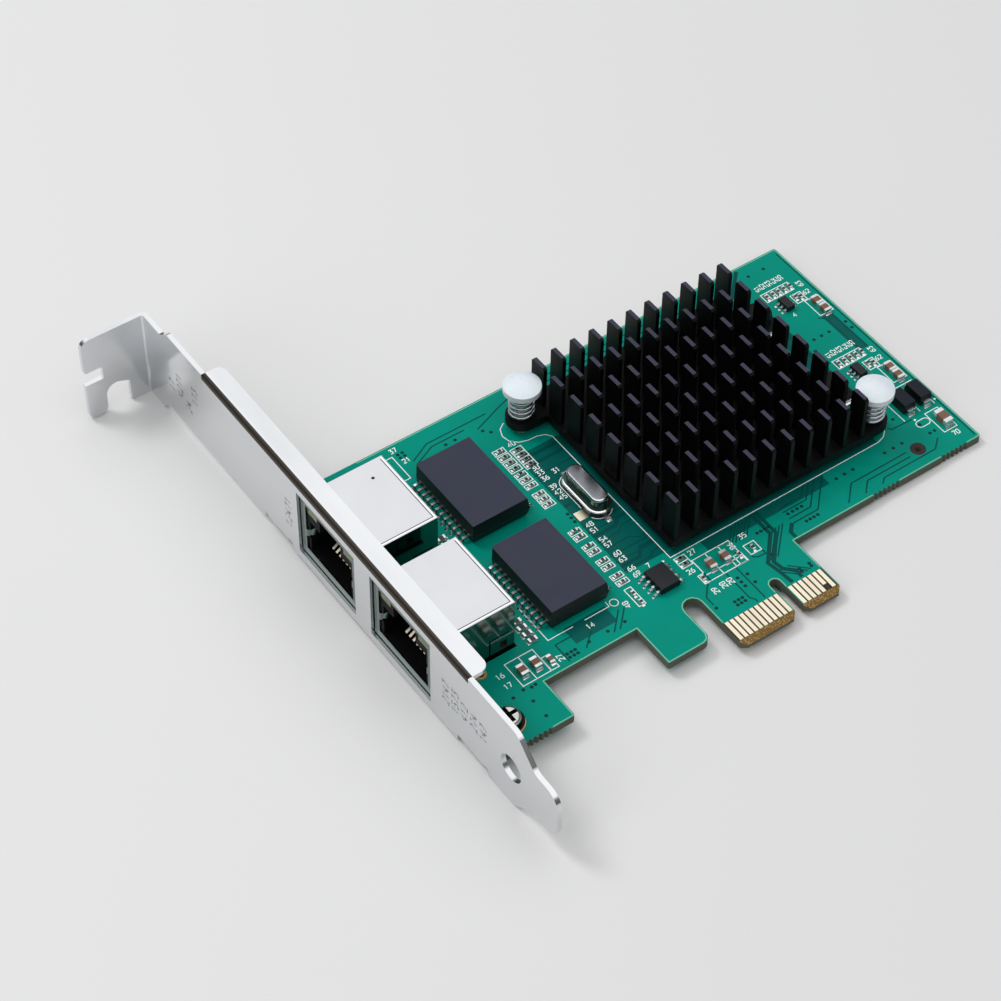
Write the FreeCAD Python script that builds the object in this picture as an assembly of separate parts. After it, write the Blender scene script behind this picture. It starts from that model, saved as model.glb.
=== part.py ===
"""Two-port network interface card with a full-height slot bracket.

Frame, in millimetres: X runs along the board away from the bracket, Y runs up the card from
the edge contacts to the bracket's ear, and Z points out of the component side. The origin is
at the middle of the key notch, at the tongue's lower edge, on the component-side surface.
"""

import FreeCAD, Part
import math
import os

V = FreeCAD.Vector

# Board
BOARD_THICKNESS = 1.57
BOARD_RIGHT = 48.95
BOARD_TOP = 67.75
BOARD_STEP_Y = 12.45
BOARD_CORNER_R = 0.4
BRACKET_CLEARANCE = 0.55
LEG_RIGHT = -42.05
LEG_BOTTOM = 4.4
TAB_LEFT = -24.0
TAB_RIGHT = -15.4
TAB_BOTTOM = 4.1
TAB_CORNER_R = 1.5
TONGUE_LEFT = -12.1
TAB_GAP_TOP_Y = 12.6
TONGUE_RIGHT = 8.35
TONGUE_CHAMFER = 0.9
TONGUE_BEVEL = 0.45
TONGUE_BEVEL_HEIGHT = 1.2
KEY_NOTCH_WIDTH = 1.9
KEY_NOTCH_DEPTH = 8.05
BITE_RADIUS = 0.3
BITE_PITCH = 0.95
BITE_COUNT = 6
BITE_ROW_STARTS = (25.8, 40.7)
LEG_BITE_START = -51.6
TOOLING_HOLE = (38.2, 16.2)
TOOLING_HOLE_R = 0.6
GROUND_HOLE_X = -49.6
GROUND_HOLE_FROM_JACK = 1.6
GROUND_HOLE_R = 0.7
RING_WIDTH = 0.45
RING_THICKNESS = 0.05

# How far a cutting block runs past what it cuts
CUT_OVERSHOOT = 1.0

# Edge contacts
CONTACT_PITCH = 1.0
CONTACT_WIDTH = 0.7
CONTACT_LENGTH = 4.1
CONTACT_SHORT_LENGTH = 2.9
CONTACT_SET_BACK = 1.3
CONTACT_THICKNESS = 0.05
FIRST_CONTACT_FROM_KEY = 1.5
CONTACTS_LEFT = 11
CONTACTS_RIGHT = 7
SHORT_CONTACT_INDEX = 5

# Bracket
SHEET = 0.86
KEY_TO_BRACKET = 57.15
BRACKET_BOTTOM_Z = -3.93
BRACKET_WIDTH = 18.42
EAR_INNER_Y = 106.6
EAR_DEPTH = 12.1
EAR_DROP_LOW = 2.2
EAR_DROP_HIGH = 1.9
EAR_STEP_LOW_Y = 99.9
EAR_STEP_HIGH_Y = 98.6
EAR_STEP_RUN = 2.35
EAR_STEP_R = 0.5
BEND_INNER_R = 0.45
EAR_CORNER_R = 1.8
SLOT_WIDTH = 2.85
SLOT_DEPTH = 3.5
SLOT_CENTRE_Z = 3.7
YOKE_LEFT_FROM_FACE = 8.44
YOKE_RIGHT_FROM_FACE = 3.84
YOKE_LEFT_TOP_Z = 1.05
YOKE_RIGHT_TOP_Z = -0.95
YOKE_R = 2.0
PRONG_OUTER_R = 1.6
PRONG_INNER_R = 0.8
SLOT_LIP_R = 0.6
BODY_END_Y = -2.0
TONGUE_Z_LOW = -0.6
TONGUE_WIDTH = 10.3
BRACKET_TONGUE_END_Y = -12.56
BRACKET_TONGUE_R = 3.0
TAPER_R = 2.5
FLANGE_REACH = 4.06
FLANGE_LOW_Y = 10.6
FLANGE_HIGH_Y = 87.4
FLANGE_CORNER_R = 1.6
BRACKET_HOLE = (-0.7, 4.5)
BRACKET_HOLE_R = 2.6

# Screws that hold the bracket, and the bracket's tabs below the board
SCREW_X = -51.3
SCREW_YS = (9.25, 65.0)
SCREW_SHANK_R = 1.45
THREAD_CLEARANCE = 0.02
SCREW_FLANGE_R = 2.6
SCREW_FLANGE_HEIGHT = 0.45
SCREW_HEAD_R = 2.05
SCREW_HEAD_HEIGHT = 1.95
SCREW_HEAD_EDGE_R = 0.75
SCREW_RECESS_WIDTH = 0.7
SCREW_RECESS_LENGTH = 3.0
SCREW_RECESS_DEPTH = 1.0
SCREW_PAST_TAB = 0.6
SCREW_CLEARANCE = 0.15
SCREW_PAD_R = 2.7
TAB_WIDTH = 6.1
TAB_REACH = 4.8
BOSS_R = 2.3
RELIEF_WIDTH = 1.1
TAB_END_R = 1.5

# Network jacks, sunk into the board
JACK_CENTRES_Y = (50.3, 29.15)
JACK_WIDTH = 16.2
JACK_TOP_Z = 10.8
JACK_BOTTOM_Z = -1.95
JACK_BACK_X = -41.8
JACK_RECESS = 0.6
SHIELD_WALL = 0.3
LIP_SIDE = 1.3
LIP_LOW = 1.5
LIP_HIGH = 0.85
WINDOW_SIDE_GAP = 0.25
WINDOW_LOW_GAP = 0.3
WINDOW_HIGH_GAP = 1.2
CUTOUT_SIDE_GAP = 0.4
CUTOUT_BACK_GAP = 0.3
CAVITY_WIDTH = 11.9
CAVITY_HEIGHT = 6.9
CAVITY_FLOOR = 1.55
CAVITY_DEPTH = 13.0
LATCH_WIDTH = 6.1
LATCH_HEIGHT = 2.8
CARRIER_RISE = 0.35
CARRIER_WIDTH = 8.6
CARRIER_SET_BACK = 0.3
LIGHT_WIDTH = 2.8
LIGHT_HEIGHT = 1.6
LIGHT_DEPTH = 5.0
LIGHT_CORNER_GAP = 0.15
FINGER_LOW_Z = 2.6
FINGER_HIGH_Z = 4.2
FINGER_DEPTH = 2.4
FINGER_REACH = 0.9
FINGER_CLEARANCE = 0.2
JACK_CONTACTS = 8
JACK_CONTACT_PITCH = 1.02
JACK_CONTACT_WIDTH = 0.46
JACK_CONTACT_THICKNESS = 0.25
JACK_CONTACT_FRONT = 2.85
JACK_CONTACT_RUN = 6.2
JACK_CONTACT_RISE = 4.3
SIDE_TAB_LENGTH = 3.6
SIDE_TAB_HIGH_Z = 4.1
SIDE_TAB_FROM_BACK = 1.0
SIDE_TAB_SLOT = 0.28
SIDE_WINDOW_LENGTH = 1.35
SIDE_WINDOW_HEIGHT = 1.7
SIDE_WINDOW_FROM_END = 0.45
SIDE_WINDOW_LOW_Z = 0.95

# Magnetics packages
MAGNETICS_CENTRE_X = -29.75
MAGNETICS_CENTRES_Y = (50.15, 28.5)
MAGNETICS_WIDTH = 11.5
MAGNETICS_LENGTH = 17.3
MAGNETICS_TOP_Z = 4.3
MAGNETICS_STAND_OFF = 0.4
MAGNETICS_DRAFT = 0.35
MAGNETICS_LEADS = 12
MAGNETICS_PITCH = 1.27
MAGNETICS_SPAN = 14.4
MAGNETICS_CORNER_CUT = 1.0
MAGNETICS_LEAD_WIDTH = 0.48
MAGNETICS_LEAD_EXIT = 0.14

# Controller stack and heatsink
CHIP_CENTRE = (10.4, 41.45)
BALL_HEIGHT = 0.35
BALL_R = 0.25
BALL_PITCH = 1.8
BALL_ROWS = 10
SUBSTRATE_SIZE = 19.0
SUBSTRATE_THICKNESS = 0.5
DIE_SIZE = 15.0
DIE_THICKNESS = 0.6
PAD_SIZE = 14.0
PAD_THICKNESS = 0.15
SINK_WIDTH = 41.1
SINK_LENGTH = 39.9
SINK_BASE = 1.5
SINK_CORNER_R = 0.8
FIN_COLUMNS = 11
FIN_ROWS = 8
FIN_THICKNESS = 0.75
FIN_LENGTH = 3.4
FIN_HEIGHT = 9.0
FIN_TIP_CHAMFER = 0.4
FIN_SIDE_MARGIN = 0.5
FIN_END_MARGIN = 0.15
LOBE_R = 2.8
LOBE_REACH = 3.35

# Push pins and springs
PIN_SHANK_R = 1.3
PIN_HEAD_R = 3.3
PIN_HEAD_RIM = 1.1
PIN_HEAD_DOME = 0.8
PIN_HEAD_UNDER_Z = 9.0
PIN_HOLE_CLEARANCE = 0.2
PIN_BARB_R = 1.75
PIN_BARB_HEIGHT = 1.1
PIN_TIP_R = 0.9
SPRING_R = 2.05
SPRING_WIRE_R = 0.26
SPRING_TURNS = 5

# Crystal
CRYSTAL_FROM_SINK = 1.35
CRYSTAL_Y = 39.65
CRYSTAL_CAN = (3.25, 9.5)
CRYSTAL_FLANGE = (4.6, 10.9)
CRYSTAL_FLANGE_THICKNESS = 0.45
CRYSTAL_CAN_HEIGHT = 2.3
CRYSTAL_CAN_EDGE_R = 0.5
CRYSTAL_BASE_THICKNESS = 0.6
CRYSTAL_LEAD_WIDTH = 0.9
CRYSTAL_LEAD_THICKNESS = 0.2
CRYSTAL_LEAD_REACH = 0.9
CRYSTAL_LEAD_INNER = 2.2

# Leaded packages: centre x, centre y; their leads leave at this share of the case's height
LEAD_EXIT = 0.45
MEMORY_CENTRE = (-14.75, 18.0)
MEMORY_BODY = (3.9, 4.9, 1.5)
MEMORY_PITCH = 1.27
MEMORY_SPAN = 6.0
MEMORY_LEADS = 4
MEMORY_LEAD_WIDTH = 0.42
MEMORY_STAND_OFF = 0.15
MEMORY_DRAFT = 0.12
CONVERTER_CENTRES = ((41.4, 55.2), (41.4, 35.5))
CONVERTER_BODY = (1.7, 2.9, 1.15)
CONVERTER_PITCH = 0.95
CONVERTER_SPAN = 2.8
CONVERTER_LEADS = 3
CONVERTER_LEAD_WIDTH = 0.4
CONVERTER_STAND_OFF = 0.1
CONVERTER_DRAFT = 0.08
DIODE_CENTRES = ((42.45, 25.4), (46.0, 25.4))
DIODE_BODY = (2.6, 4.2, 2.2)
DIODE_STAND_OFF = 0.15
DIODE_DRAFT = 0.15
DIODE_LEAD_TUCK = 0.4
DIODE_LEAD_WIDTH = 1.4
DIODE_LEAD_REACH = 0.5
DIODE_LEAD_THICKNESS = 0.2
INDUCTOR_FROM_SINK = 0.65
INDUCTOR_YS = (54.7, 34.5)
INDUCTOR_BASE_SIZE = (5.6, 6.2)
INDUCTOR_BASE_HEIGHT = 0.8
INDUCTOR_DRUM_R = 2.5
INDUCTOR_HEIGHT = 3.0
INDUCTOR_EDGE_R = 0.4
INDUCTOR_CORNER_R = 1.0
INDUCTOR_TERMINAL = (3.4, 1.7)
INDUCTOR_TERMINAL_REACH = 0.35
LEAD_THICKNESS = 0.2
LEAD_FOOT = 0.7

# Chip parts lie in columns and rows: length, width, height of each size
CHIP_SMALL = (1.05, 0.55, 0.4)
CHIP_MEDIUM = (1.6, 0.85, 0.5)
CHIP_LARGE = (2.1, 1.3, 1.0)
CHIP_LONG = (3.2, 1.65, 1.3)
TERMINAL_SHARE = 0.24
SOLDER_FILM = 0.04
RESISTOR_COLUMN_X = -20.0
RESISTOR_COLUMN_Y = 46.65
RESISTOR_COLUMN_PITCH = 1.53
RESISTOR_COLUMN_COUNT = 7
PAIR_ROW_Y = 21.5
PAIR_PITCH = 3.85
PAIR_GAP = 1.55
PAIR_COUNT = 4
SHORT_COLUMN_X = -17.3
SHORT_COLUMN_Y = 50.6
SHORT_COLUMN_PITCH = 1.3
SHORT_COLUMN_COUNT = 4
TRIPLE_Y = 41.7
TRIPLE_PITCH = 1.35
TRIPLE_COUNT = 3
TERMINATION_X = -38.9
TERMINATION_FROM_JACK = -9.05
TERMINATION_PITCH = 1.45
TERMINATION_COUNT = 4
FILTER_ROW_X = 39.9
FILTER_ROW_PITCH = 1.27
FILTER_ROW_COUNT = 5
FILTER_ROW_ABOVE_CHIP = 3.45
LARGE_CAPACITORS = ((-44.0, 15.85), (-41.4, 15.85), (-6.3, 16.0), (-3.4, 16.0), (-38.6, 62.4))
OUTPUT_CAPACITOR_X = 46.35
OUTPUT_CAPACITOR_PITCH = 2.2
OUTPUT_CAPACITOR_BELOW_CHIP = 2.4
LONG_CAPACITOR = (46.0, 18.8)
SMALL_ALONG_X = ((-9.5, 19.95), (-9.5, 18.6))
SMALL_ALONG_Y = ((-1.0, 15.2), (-8.9, 14.6), (1.7, 15.1), (-20.1, 18.5), (-20.1, 16.4))
FILTER_SIDE_FROM_CHIP = ((2.65, 0.7), (3.55, 0.35))
MEDIUM_ALONG_Y = ((-38.9, 15.3),)

# Derived places
BOARD_BOTTOM_Z = -BOARD_THICKNESS
EAR_LOW_Z = BRACKET_BOTTOM_Z - EAR_DROP_LOW
EAR_HIGH_Z = BRACKET_BOTTOM_Z + BRACKET_WIDTH - EAR_DROP_HIGH
PLATE_INNER_X = -KEY_TO_BRACKET
PLATE_OUTER_X = PLATE_INNER_X - SHEET
BOARD_LEFT = PLATE_INNER_X + BRACKET_CLEARANCE
BRACKET_TOP_Z = BRACKET_BOTTOM_Z + BRACKET_WIDTH
JACK_FRONT_X = PLATE_OUTER_X + JACK_RECESS
SINK_BOTTOM_Z = BALL_HEIGHT + SUBSTRATE_THICKNESS + DIE_THICKNESS + PAD_THICKNESS
SINK_TOP_Z = SINK_BOTTOM_Z + SINK_BASE
SINK_LEFT = CHIP_CENTRE[0] - SINK_WIDTH / 2
SINK_RIGHT = CHIP_CENTRE[0] + SINK_WIDTH / 2
PIN_CENTRES = (
    (SINK_LEFT - LOBE_REACH, CHIP_CENTRE[1] + SINK_LENGTH / 2 - LOBE_R),
    (SINK_RIGHT + LOBE_REACH, CHIP_CENTRE[1] - SINK_LENGTH / 2 + LOBE_R),
)
CRYSTAL_CENTRE = (SINK_LEFT - CRYSTAL_FROM_SINK - CRYSTAL_FLANGE[0] / 2, CRYSTAL_Y)
INDUCTOR_CENTRES = [(SINK_RIGHT + INDUCTOR_FROM_SINK + INDUCTOR_BASE_SIZE[0] / 2, y) for y in INDUCTOR_YS]
GROUND_HOLE_YS = (min(JACK_CENTRES_Y) - JACK_WIDTH / 2 - GROUND_HOLE_FROM_JACK,
                  max(JACK_CENTRES_Y) + JACK_WIDTH / 2 + GROUND_HOLE_FROM_JACK)


def box(low, high):
    """A block between two opposite corners."""
    return Part.makeBox(high[0] - low[0], high[1] - low[1], high[2] - low[2], V(*low))


def centred_block(centre, size, low_z, height):
    """A block whose plan is centred on a point."""
    half_x, half_y = size[0] / 2, size[1] / 2
    return box((centre[0] - half_x, centre[1] - half_y, low_z),
               (centre[0] + half_x, centre[1] + half_y, low_z + height))


def cylinder(x, y, low_z, high_z, radius):
    """An upright cylinder."""
    return Part.makeCylinder(radius, high_z - low_z, V(x, y, low_z))


def vertical_edges(shape):
    """Edges that run straight along Z."""
    found = []
    for edge in shape.Edges:
        ends = [vertex.Point for vertex in edge.Vertexes]
        if len(ends) == 2 and abs(ends[0].x - ends[1].x) < 1e-6 and abs(ends[0].y - ends[1].y) < 1e-6:
            found.append(edge)
    return found


def rounded_block(centre, size, low_z, height, radius):
    """A centred block with rounded upright edges."""
    block = centred_block(centre, size, low_z, height)
    return block.makeFillet(radius, vertical_edges(block))


def edges_at(shape, z):
    """Edges whose every vertex lies at one height."""
    return [edge for edge in shape.Edges if all(abs(v.Point.z - z) < 1e-6 for v in edge.Vertexes)]


def circles_at(shape, z):
    """Full circles at one height."""
    return [edge for edge in edges_at(shape, z) if len(edge.Vertexes) == 1]


def round_ended_block(centre, size, low_z, height):
    """A block along Y whose two ends are half round."""
    radius = size[0] / 2
    reach = size[1] / 2 - radius
    middle = centred_block(centre, (size[0], 2 * reach), low_z, height)
    ends = [cylinder(centre[0], centre[1] + side * reach, low_z, low_z + height, radius) for side in (-1, 1)]
    return middle.fuse(ends).removeSplitter()


def tapered_block(centre, size, low_z, height, draft):
    """A moulded block, widest where its leads leave it, whose faces lean in by the draft."""
    def section(inset, z):
        half_x, half_y = size[0] / 2 - inset, size[1] / 2 - inset
        corners = [V(centre[0] + sx * half_x, centre[1] + sy * half_y, z)
                   for sx, sy in ((-1, -1), (1, -1), (1, 1), (-1, 1))]
        return Part.makePolygon(corners + corners[:1])
    middle = low_z + height * LEAD_EXIT
    lower = Part.makeLoft([section(draft, low_z), section(0, middle)], True)
    upper = Part.makeLoft([section(0, middle), section(draft, low_z + height)], True)
    return lower.fuse(upper).removeSplitter()


def plate_in_yz(points, x_low, x_high):
    """A plate cut to a closed outline of (y, z) points."""
    corners = [V(x_low, y, z) for y, z in points]
    face = Part.Face(Part.makePolygon(corners + corners[:1]))
    return face.extrude(V(x_high - x_low, 0, 0))


def plate_in_xz(points, y_low, y_high):
    """A plate cut to a closed outline of (x, z) points."""
    corners = [V(x, y_low, z) for x, z in points]
    face = Part.Face(Part.makePolygon(corners + corners[:1]))
    return face.extrude(V(0, y_high - y_low, 0))


def fillet_at(shape, radius, places, tolerance=0.05):
    """Round the straight edges whose middle lies at one of the given places, None matching all."""
    chosen = []
    for edge in shape.Edges:
        if len(edge.Vertexes) != 2:
            continue
        middle = (edge.Vertexes[0].Point + edge.Vertexes[1].Point) * 0.5
        for place in places:
            if all(want is None or abs(have - want) < tolerance for have, want in zip(middle, place)):
                chosen.append(edge)
                break
    return shape.makeFillet(radius, chosen)


def grid(count, pitch, first=0.0):
    """Evenly spaced places."""
    return [first + index * pitch for index in range(count)]


def centred_grid(count, pitch, centre):
    """Evenly spaced places about a centre."""
    return grid(count, pitch, centre - (count - 1) * pitch / 2)


def write(node, solids):
    """Write one node from its separate solids."""
    shape = solids[0] if len(solids) == 1 else Part.makeCompound(solids)
    for solid in shape.Solids:
        if not solid.isValid():
            raise ValueError(node + " has an invalid solid")
    shape.exportStep("parts/" + node + ".step")


def board_outline():
    """The board's sheet with its leg, hook tab and tongue, and the round-ended gap between the last two."""
    gap_r = (TONGUE_LEFT - TAB_RIGHT) / 2
    sheet = box((BOARD_LEFT, BOARD_STEP_Y, BOARD_BOTTOM_Z), (BOARD_RIGHT, BOARD_TOP, 0))
    leg = box((BOARD_LEFT, LEG_BOTTOM, BOARD_BOTTOM_Z), (LEG_RIGHT, BOARD_STEP_Y, 0))
    tab = box((TAB_LEFT, TAB_BOTTOM, BOARD_BOTTOM_Z), (TAB_RIGHT + gap_r, BOARD_STEP_Y, 0))
    tongue = box((TONGUE_LEFT - gap_r, 0, BOARD_BOTTOM_Z), (TONGUE_RIGHT, BOARD_STEP_Y, 0))
    board = sheet.fuse([leg, tab, tongue]).removeSplitter()
    gap_x = (TAB_RIGHT + TONGUE_LEFT) / 2
    gap_end = TAB_GAP_TOP_Y - gap_r
    gap = box((TAB_RIGHT, -CUT_OVERSHOOT, BOARD_BOTTOM_Z), (TONGUE_LEFT, gap_end, 0))
    board = board.cut(gap.fuse(cylinder(gap_x, gap_end, BOARD_BOTTOM_Z, 0, gap_r)))
    board = fillet_at(board, TAB_CORNER_R, [(TAB_RIGHT, TAB_BOTTOM, None)])
    return fillet_at(board, BOARD_CORNER_R, [(BOARD_RIGHT, BOARD_STEP_Y, None), (BOARD_RIGHT, BOARD_TOP, None),
                                             (BOARD_LEFT, BOARD_TOP, None), (LEG_RIGHT, LEG_BOTTOM, None),
                                             (TAB_LEFT, TAB_BOTTOM, None)])


def corner_cutter(x, y, size, low_z, high_z):
    """A square bar turned to cut a 45 degree chamfer off a corner."""
    half = size / math.sqrt(2)
    bar = Part.makeBox(2 * half, 2 * half, high_z - low_z, V(-half, -half, low_z))
    bar.rotate(V(0, 0, 0), V(0, 0, 1), 45)
    bar.translate(V(x, y, 0))
    return bar


def bevel_cutter(side):
    """The wedge cut from the tongue's lower edge on one face; side is 1 for the component side."""
    surface = 0.0 if side > 0 else BOARD_BOTTOM_Z
    start_x = TONGUE_LEFT - CUT_OVERSHOOT
    profile = [V(start_x, 0, surface - side * TONGUE_BEVEL),
               V(start_x, TONGUE_BEVEL_HEIGHT, surface),
               V(start_x, -CUT_OVERSHOOT, surface + side * CUT_OVERSHOOT),
               V(start_x, -CUT_OVERSHOOT, surface - side * TONGUE_BEVEL)]
    face = Part.Face(Part.makePolygon(profile + profile[:1]))
    return face.extrude(V(TONGUE_RIGHT + CUT_OVERSHOOT - start_x, 0, 0))


def jack_box(centre_y, inset=0.0):
    """The jack's outer block, or the block inside its walls."""
    return box((JACK_FRONT_X + inset, centre_y - JACK_WIDTH / 2 + inset, JACK_BOTTOM_Z + inset),
               (JACK_BACK_X - inset, centre_y + JACK_WIDTH / 2 - inset, JACK_TOP_Z - inset))


def circuit_board():
    """The glass-epoxy board with every notch, bite and hole."""
    board = board_outline()
    cuts = []
    notch_r = KEY_NOTCH_WIDTH / 2
    cuts.append(box((-notch_r, -CUT_OVERSHOOT, BOARD_BOTTOM_Z), (notch_r, KEY_NOTCH_DEPTH - notch_r, 0)))
    cuts.append(cylinder(0, KEY_NOTCH_DEPTH - notch_r, BOARD_BOTTOM_Z, 0, notch_r))
    for x in (TONGUE_LEFT, -notch_r, notch_r, TONGUE_RIGHT):
        cuts.append(corner_cutter(x, 0, TONGUE_CHAMFER, BOARD_BOTTOM_Z, 0))
    cuts += [bevel_cutter(1), bevel_cutter(-1)]
    for start in BITE_ROW_STARTS:
        cuts += [cylinder(x, BOARD_STEP_Y, BOARD_BOTTOM_Z, 0, BITE_RADIUS)
                 for x in grid(BITE_COUNT, BITE_PITCH, start)]
    cuts += [cylinder(x, LEG_BOTTOM, BOARD_BOTTOM_Z, 0, BITE_RADIUS)
             for x in grid(BITE_COUNT, BITE_PITCH, LEG_BITE_START)]
    for centre_y in JACK_CENTRES_Y:
        half = JACK_WIDTH / 2 + CUTOUT_SIDE_GAP
        cuts.append(box((BOARD_LEFT - CUT_OVERSHOOT, centre_y - half, BOARD_BOTTOM_Z),
                        (JACK_BACK_X + CUTOUT_BACK_GAP, centre_y + half, 0)))
    for y in SCREW_YS:
        cuts.append(cylinder(SCREW_X, y, BOARD_BOTTOM_Z, 0, SCREW_SHANK_R + SCREW_CLEARANCE))
    for x, y in PIN_CENTRES:
        cuts.append(cylinder(x, y, BOARD_BOTTOM_Z, 0, PIN_SHANK_R + PIN_HOLE_CLEARANCE))
    for y in GROUND_HOLE_YS:
        cuts.append(cylinder(GROUND_HOLE_X, y, BOARD_BOTTOM_Z, 0, GROUND_HOLE_R))
    cuts.append(cylinder(*TOOLING_HOLE, BOARD_BOTTOM_Z, 0, TOOLING_HOLE_R))
    return board.cut(cuts)


def ring(x, y, inner_r, outer_r, low_z):
    """A thin flat ring of plated copper."""
    disc = cylinder(x, y, low_z, low_z + RING_THICKNESS, outer_r)
    return disc.cut(cylinder(x, y, low_z, low_z + RING_THICKNESS, inner_r))


def hole_rings():
    """Plated rings round the screw holes and the ground holes, on the component side."""
    rings = [ring(SCREW_X, y, SCREW_SHANK_R + SCREW_CLEARANCE, SCREW_PAD_R, 0) for y in SCREW_YS]
    rings += [ring(GROUND_HOLE_X, y, GROUND_HOLE_R, GROUND_HOLE_R + RING_WIDTH, 0) for y in GROUND_HOLE_YS]
    return rings


def edge_contacts(low_z, with_short):
    """One face's row of contact fingers; one finger stops short where the card is hot-plugged."""
    centres = [-FIRST_CONTACT_FROM_KEY - x for x in grid(CONTACTS_LEFT, CONTACT_PITCH)]
    centres += [FIRST_CONTACT_FROM_KEY + x for x in grid(CONTACTS_RIGHT, CONTACT_PITCH)]
    short_index = CONTACTS_LEFT + SHORT_CONTACT_INDEX
    fingers = []
    for index, x in enumerate(centres):
        length = CONTACT_SHORT_LENGTH if with_short and index == short_index else CONTACT_LENGTH
        top = CONTACT_SET_BACK + CONTACT_LENGTH
        fingers.append(box((x - CONTACT_WIDTH / 2, top - length, low_z),
                           (x + CONTACT_WIDTH / 2, top, low_z + CONTACT_THICKNESS)))
    return fingers


def bracket_plate():
    """The flat plate: body, stepped neck below the ear, and the tapered end tongue."""
    tongue_high = TONGUE_Z_LOW + TONGUE_WIDTH
    high_shoulder = BRACKET_TOP_Z - tongue_high
    low_shoulder = TONGUE_Z_LOW - BRACKET_BOTTOM_Z
    steps = [(EAR_STEP_HIGH_Y + EAR_STEP_RUN, EAR_HIGH_Z), (EAR_STEP_HIGH_Y, BRACKET_TOP_Z),
             (EAR_STEP_LOW_Y, BRACKET_BOTTOM_Z), (EAR_STEP_LOW_Y + EAR_STEP_RUN, EAR_LOW_Z)]
    outline = [(EAR_INNER_Y, EAR_HIGH_Z)] + steps[:2] + [
        (BODY_END_Y, BRACKET_TOP_Z), (BODY_END_Y - high_shoulder, tongue_high),
        (BRACKET_TONGUE_END_Y, tongue_high), (BRACKET_TONGUE_END_Y, TONGUE_Z_LOW),
        (BODY_END_Y - low_shoulder, TONGUE_Z_LOW), (BODY_END_Y, BRACKET_BOTTOM_Z),
    ] + steps[2:] + [(EAR_INNER_Y, EAR_LOW_Z)]
    plate = plate_in_yz(outline, PLATE_OUTER_X, PLATE_INNER_X)
    plate = fillet_at(plate, BRACKET_TONGUE_R,
                      [(None, BRACKET_TONGUE_END_Y, tongue_high), (None, BRACKET_TONGUE_END_Y, TONGUE_Z_LOW)])
    plate = fillet_at(plate, TAPER_R,
                      [(None, BODY_END_Y, BRACKET_TOP_Z), (None, BODY_END_Y - high_shoulder, tongue_high),
                       (None, BODY_END_Y, BRACKET_BOTTOM_Z), (None, BODY_END_Y - low_shoulder, TONGUE_Z_LOW)])
    return fillet_at(plate, EAR_STEP_R, [(None, y, z) for y, z in steps])


def ear():
    """The ear's flat part with the narrow slot and the wide yoke for the case screw."""
    far = PLATE_OUTER_X - EAR_DEPTH
    near = PLATE_OUTER_X - BEND_INNER_R
    top = EAR_INNER_Y + SHEET
    flat = box((far, EAR_INNER_Y, EAR_LOW_Z), (near, top, EAR_HIGH_Z))
    flat = fillet_at(flat, EAR_CORNER_R, [(far, None, EAR_HIGH_Z)])
    yoke_left = PLATE_OUTER_X - YOKE_LEFT_FROM_FACE
    yoke_right = PLATE_OUTER_X - YOKE_RIGHT_FROM_FACE
    yoke = plate_in_xz([(yoke_left, EAR_LOW_Z), (yoke_right, EAR_LOW_Z), (yoke_right, YOKE_RIGHT_TOP_Z),
                        (yoke_left, YOKE_LEFT_TOP_Z)], EAR_INNER_Y, top)
    yoke = fillet_at(yoke, YOKE_R, [(yoke_left, None, YOKE_LEFT_TOP_Z)])
    slot_high = SLOT_CENTRE_Z + SLOT_WIDTH / 2
    slot = box((far, EAR_INNER_Y, slot_high - SLOT_WIDTH), (far + SLOT_DEPTH, top, slot_high))
    flat = flat.cut([yoke, slot])
    flat = fillet_at(flat, PRONG_OUTER_R, [(far, None, EAR_LOW_Z), (yoke_left, None, EAR_LOW_Z)])
    flat = fillet_at(flat, PRONG_INNER_R, [(yoke_right, None, EAR_LOW_Z)])
    return fillet_at(flat, SLOT_LIP_R, [(far, None, slot_high)])


def stiffening_flange():
    """The long flange that is bent from the component-side edge towards the board."""
    near = PLATE_INNER_X + BEND_INNER_R
    far = PLATE_OUTER_X + FLANGE_REACH
    flat = box((near, FLANGE_LOW_Y, BRACKET_TOP_Z - SHEET), (far, FLANGE_HIGH_Y, BRACKET_TOP_Z))
    return fillet_at(flat, FLANGE_CORNER_R, [(far, FLANGE_LOW_Y, None), (far, FLANGE_HIGH_Y, None)])


def bracket_tab(centre_y):
    """One tab below the board, with the extruded boss that reaches the board's lower face."""
    near = PLATE_INNER_X + BEND_INNER_R
    far = SCREW_X + TAB_REACH
    tab_top = BRACKET_BOTTOM_Z + SHEET
    tab = box((near, centre_y - TAB_WIDTH / 2, BRACKET_BOTTOM_Z), (far, centre_y + TAB_WIDTH / 2, tab_top))
    tab = fillet_at(tab, TAB_END_R, [(far, centre_y - TAB_WIDTH / 2, None), (far, centre_y + TAB_WIDTH / 2, None)])
    boss = cylinder(SCREW_X, centre_y, tab_top, BOARD_BOTTOM_Z, BOSS_R)
    hole = cylinder(SCREW_X, centre_y, BRACKET_BOTTOM_Z, BOARD_BOTTOM_Z, SCREW_SHANK_R + THREAD_CLEARANCE)
    return tab.fuse(boss).cut(hole)


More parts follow.
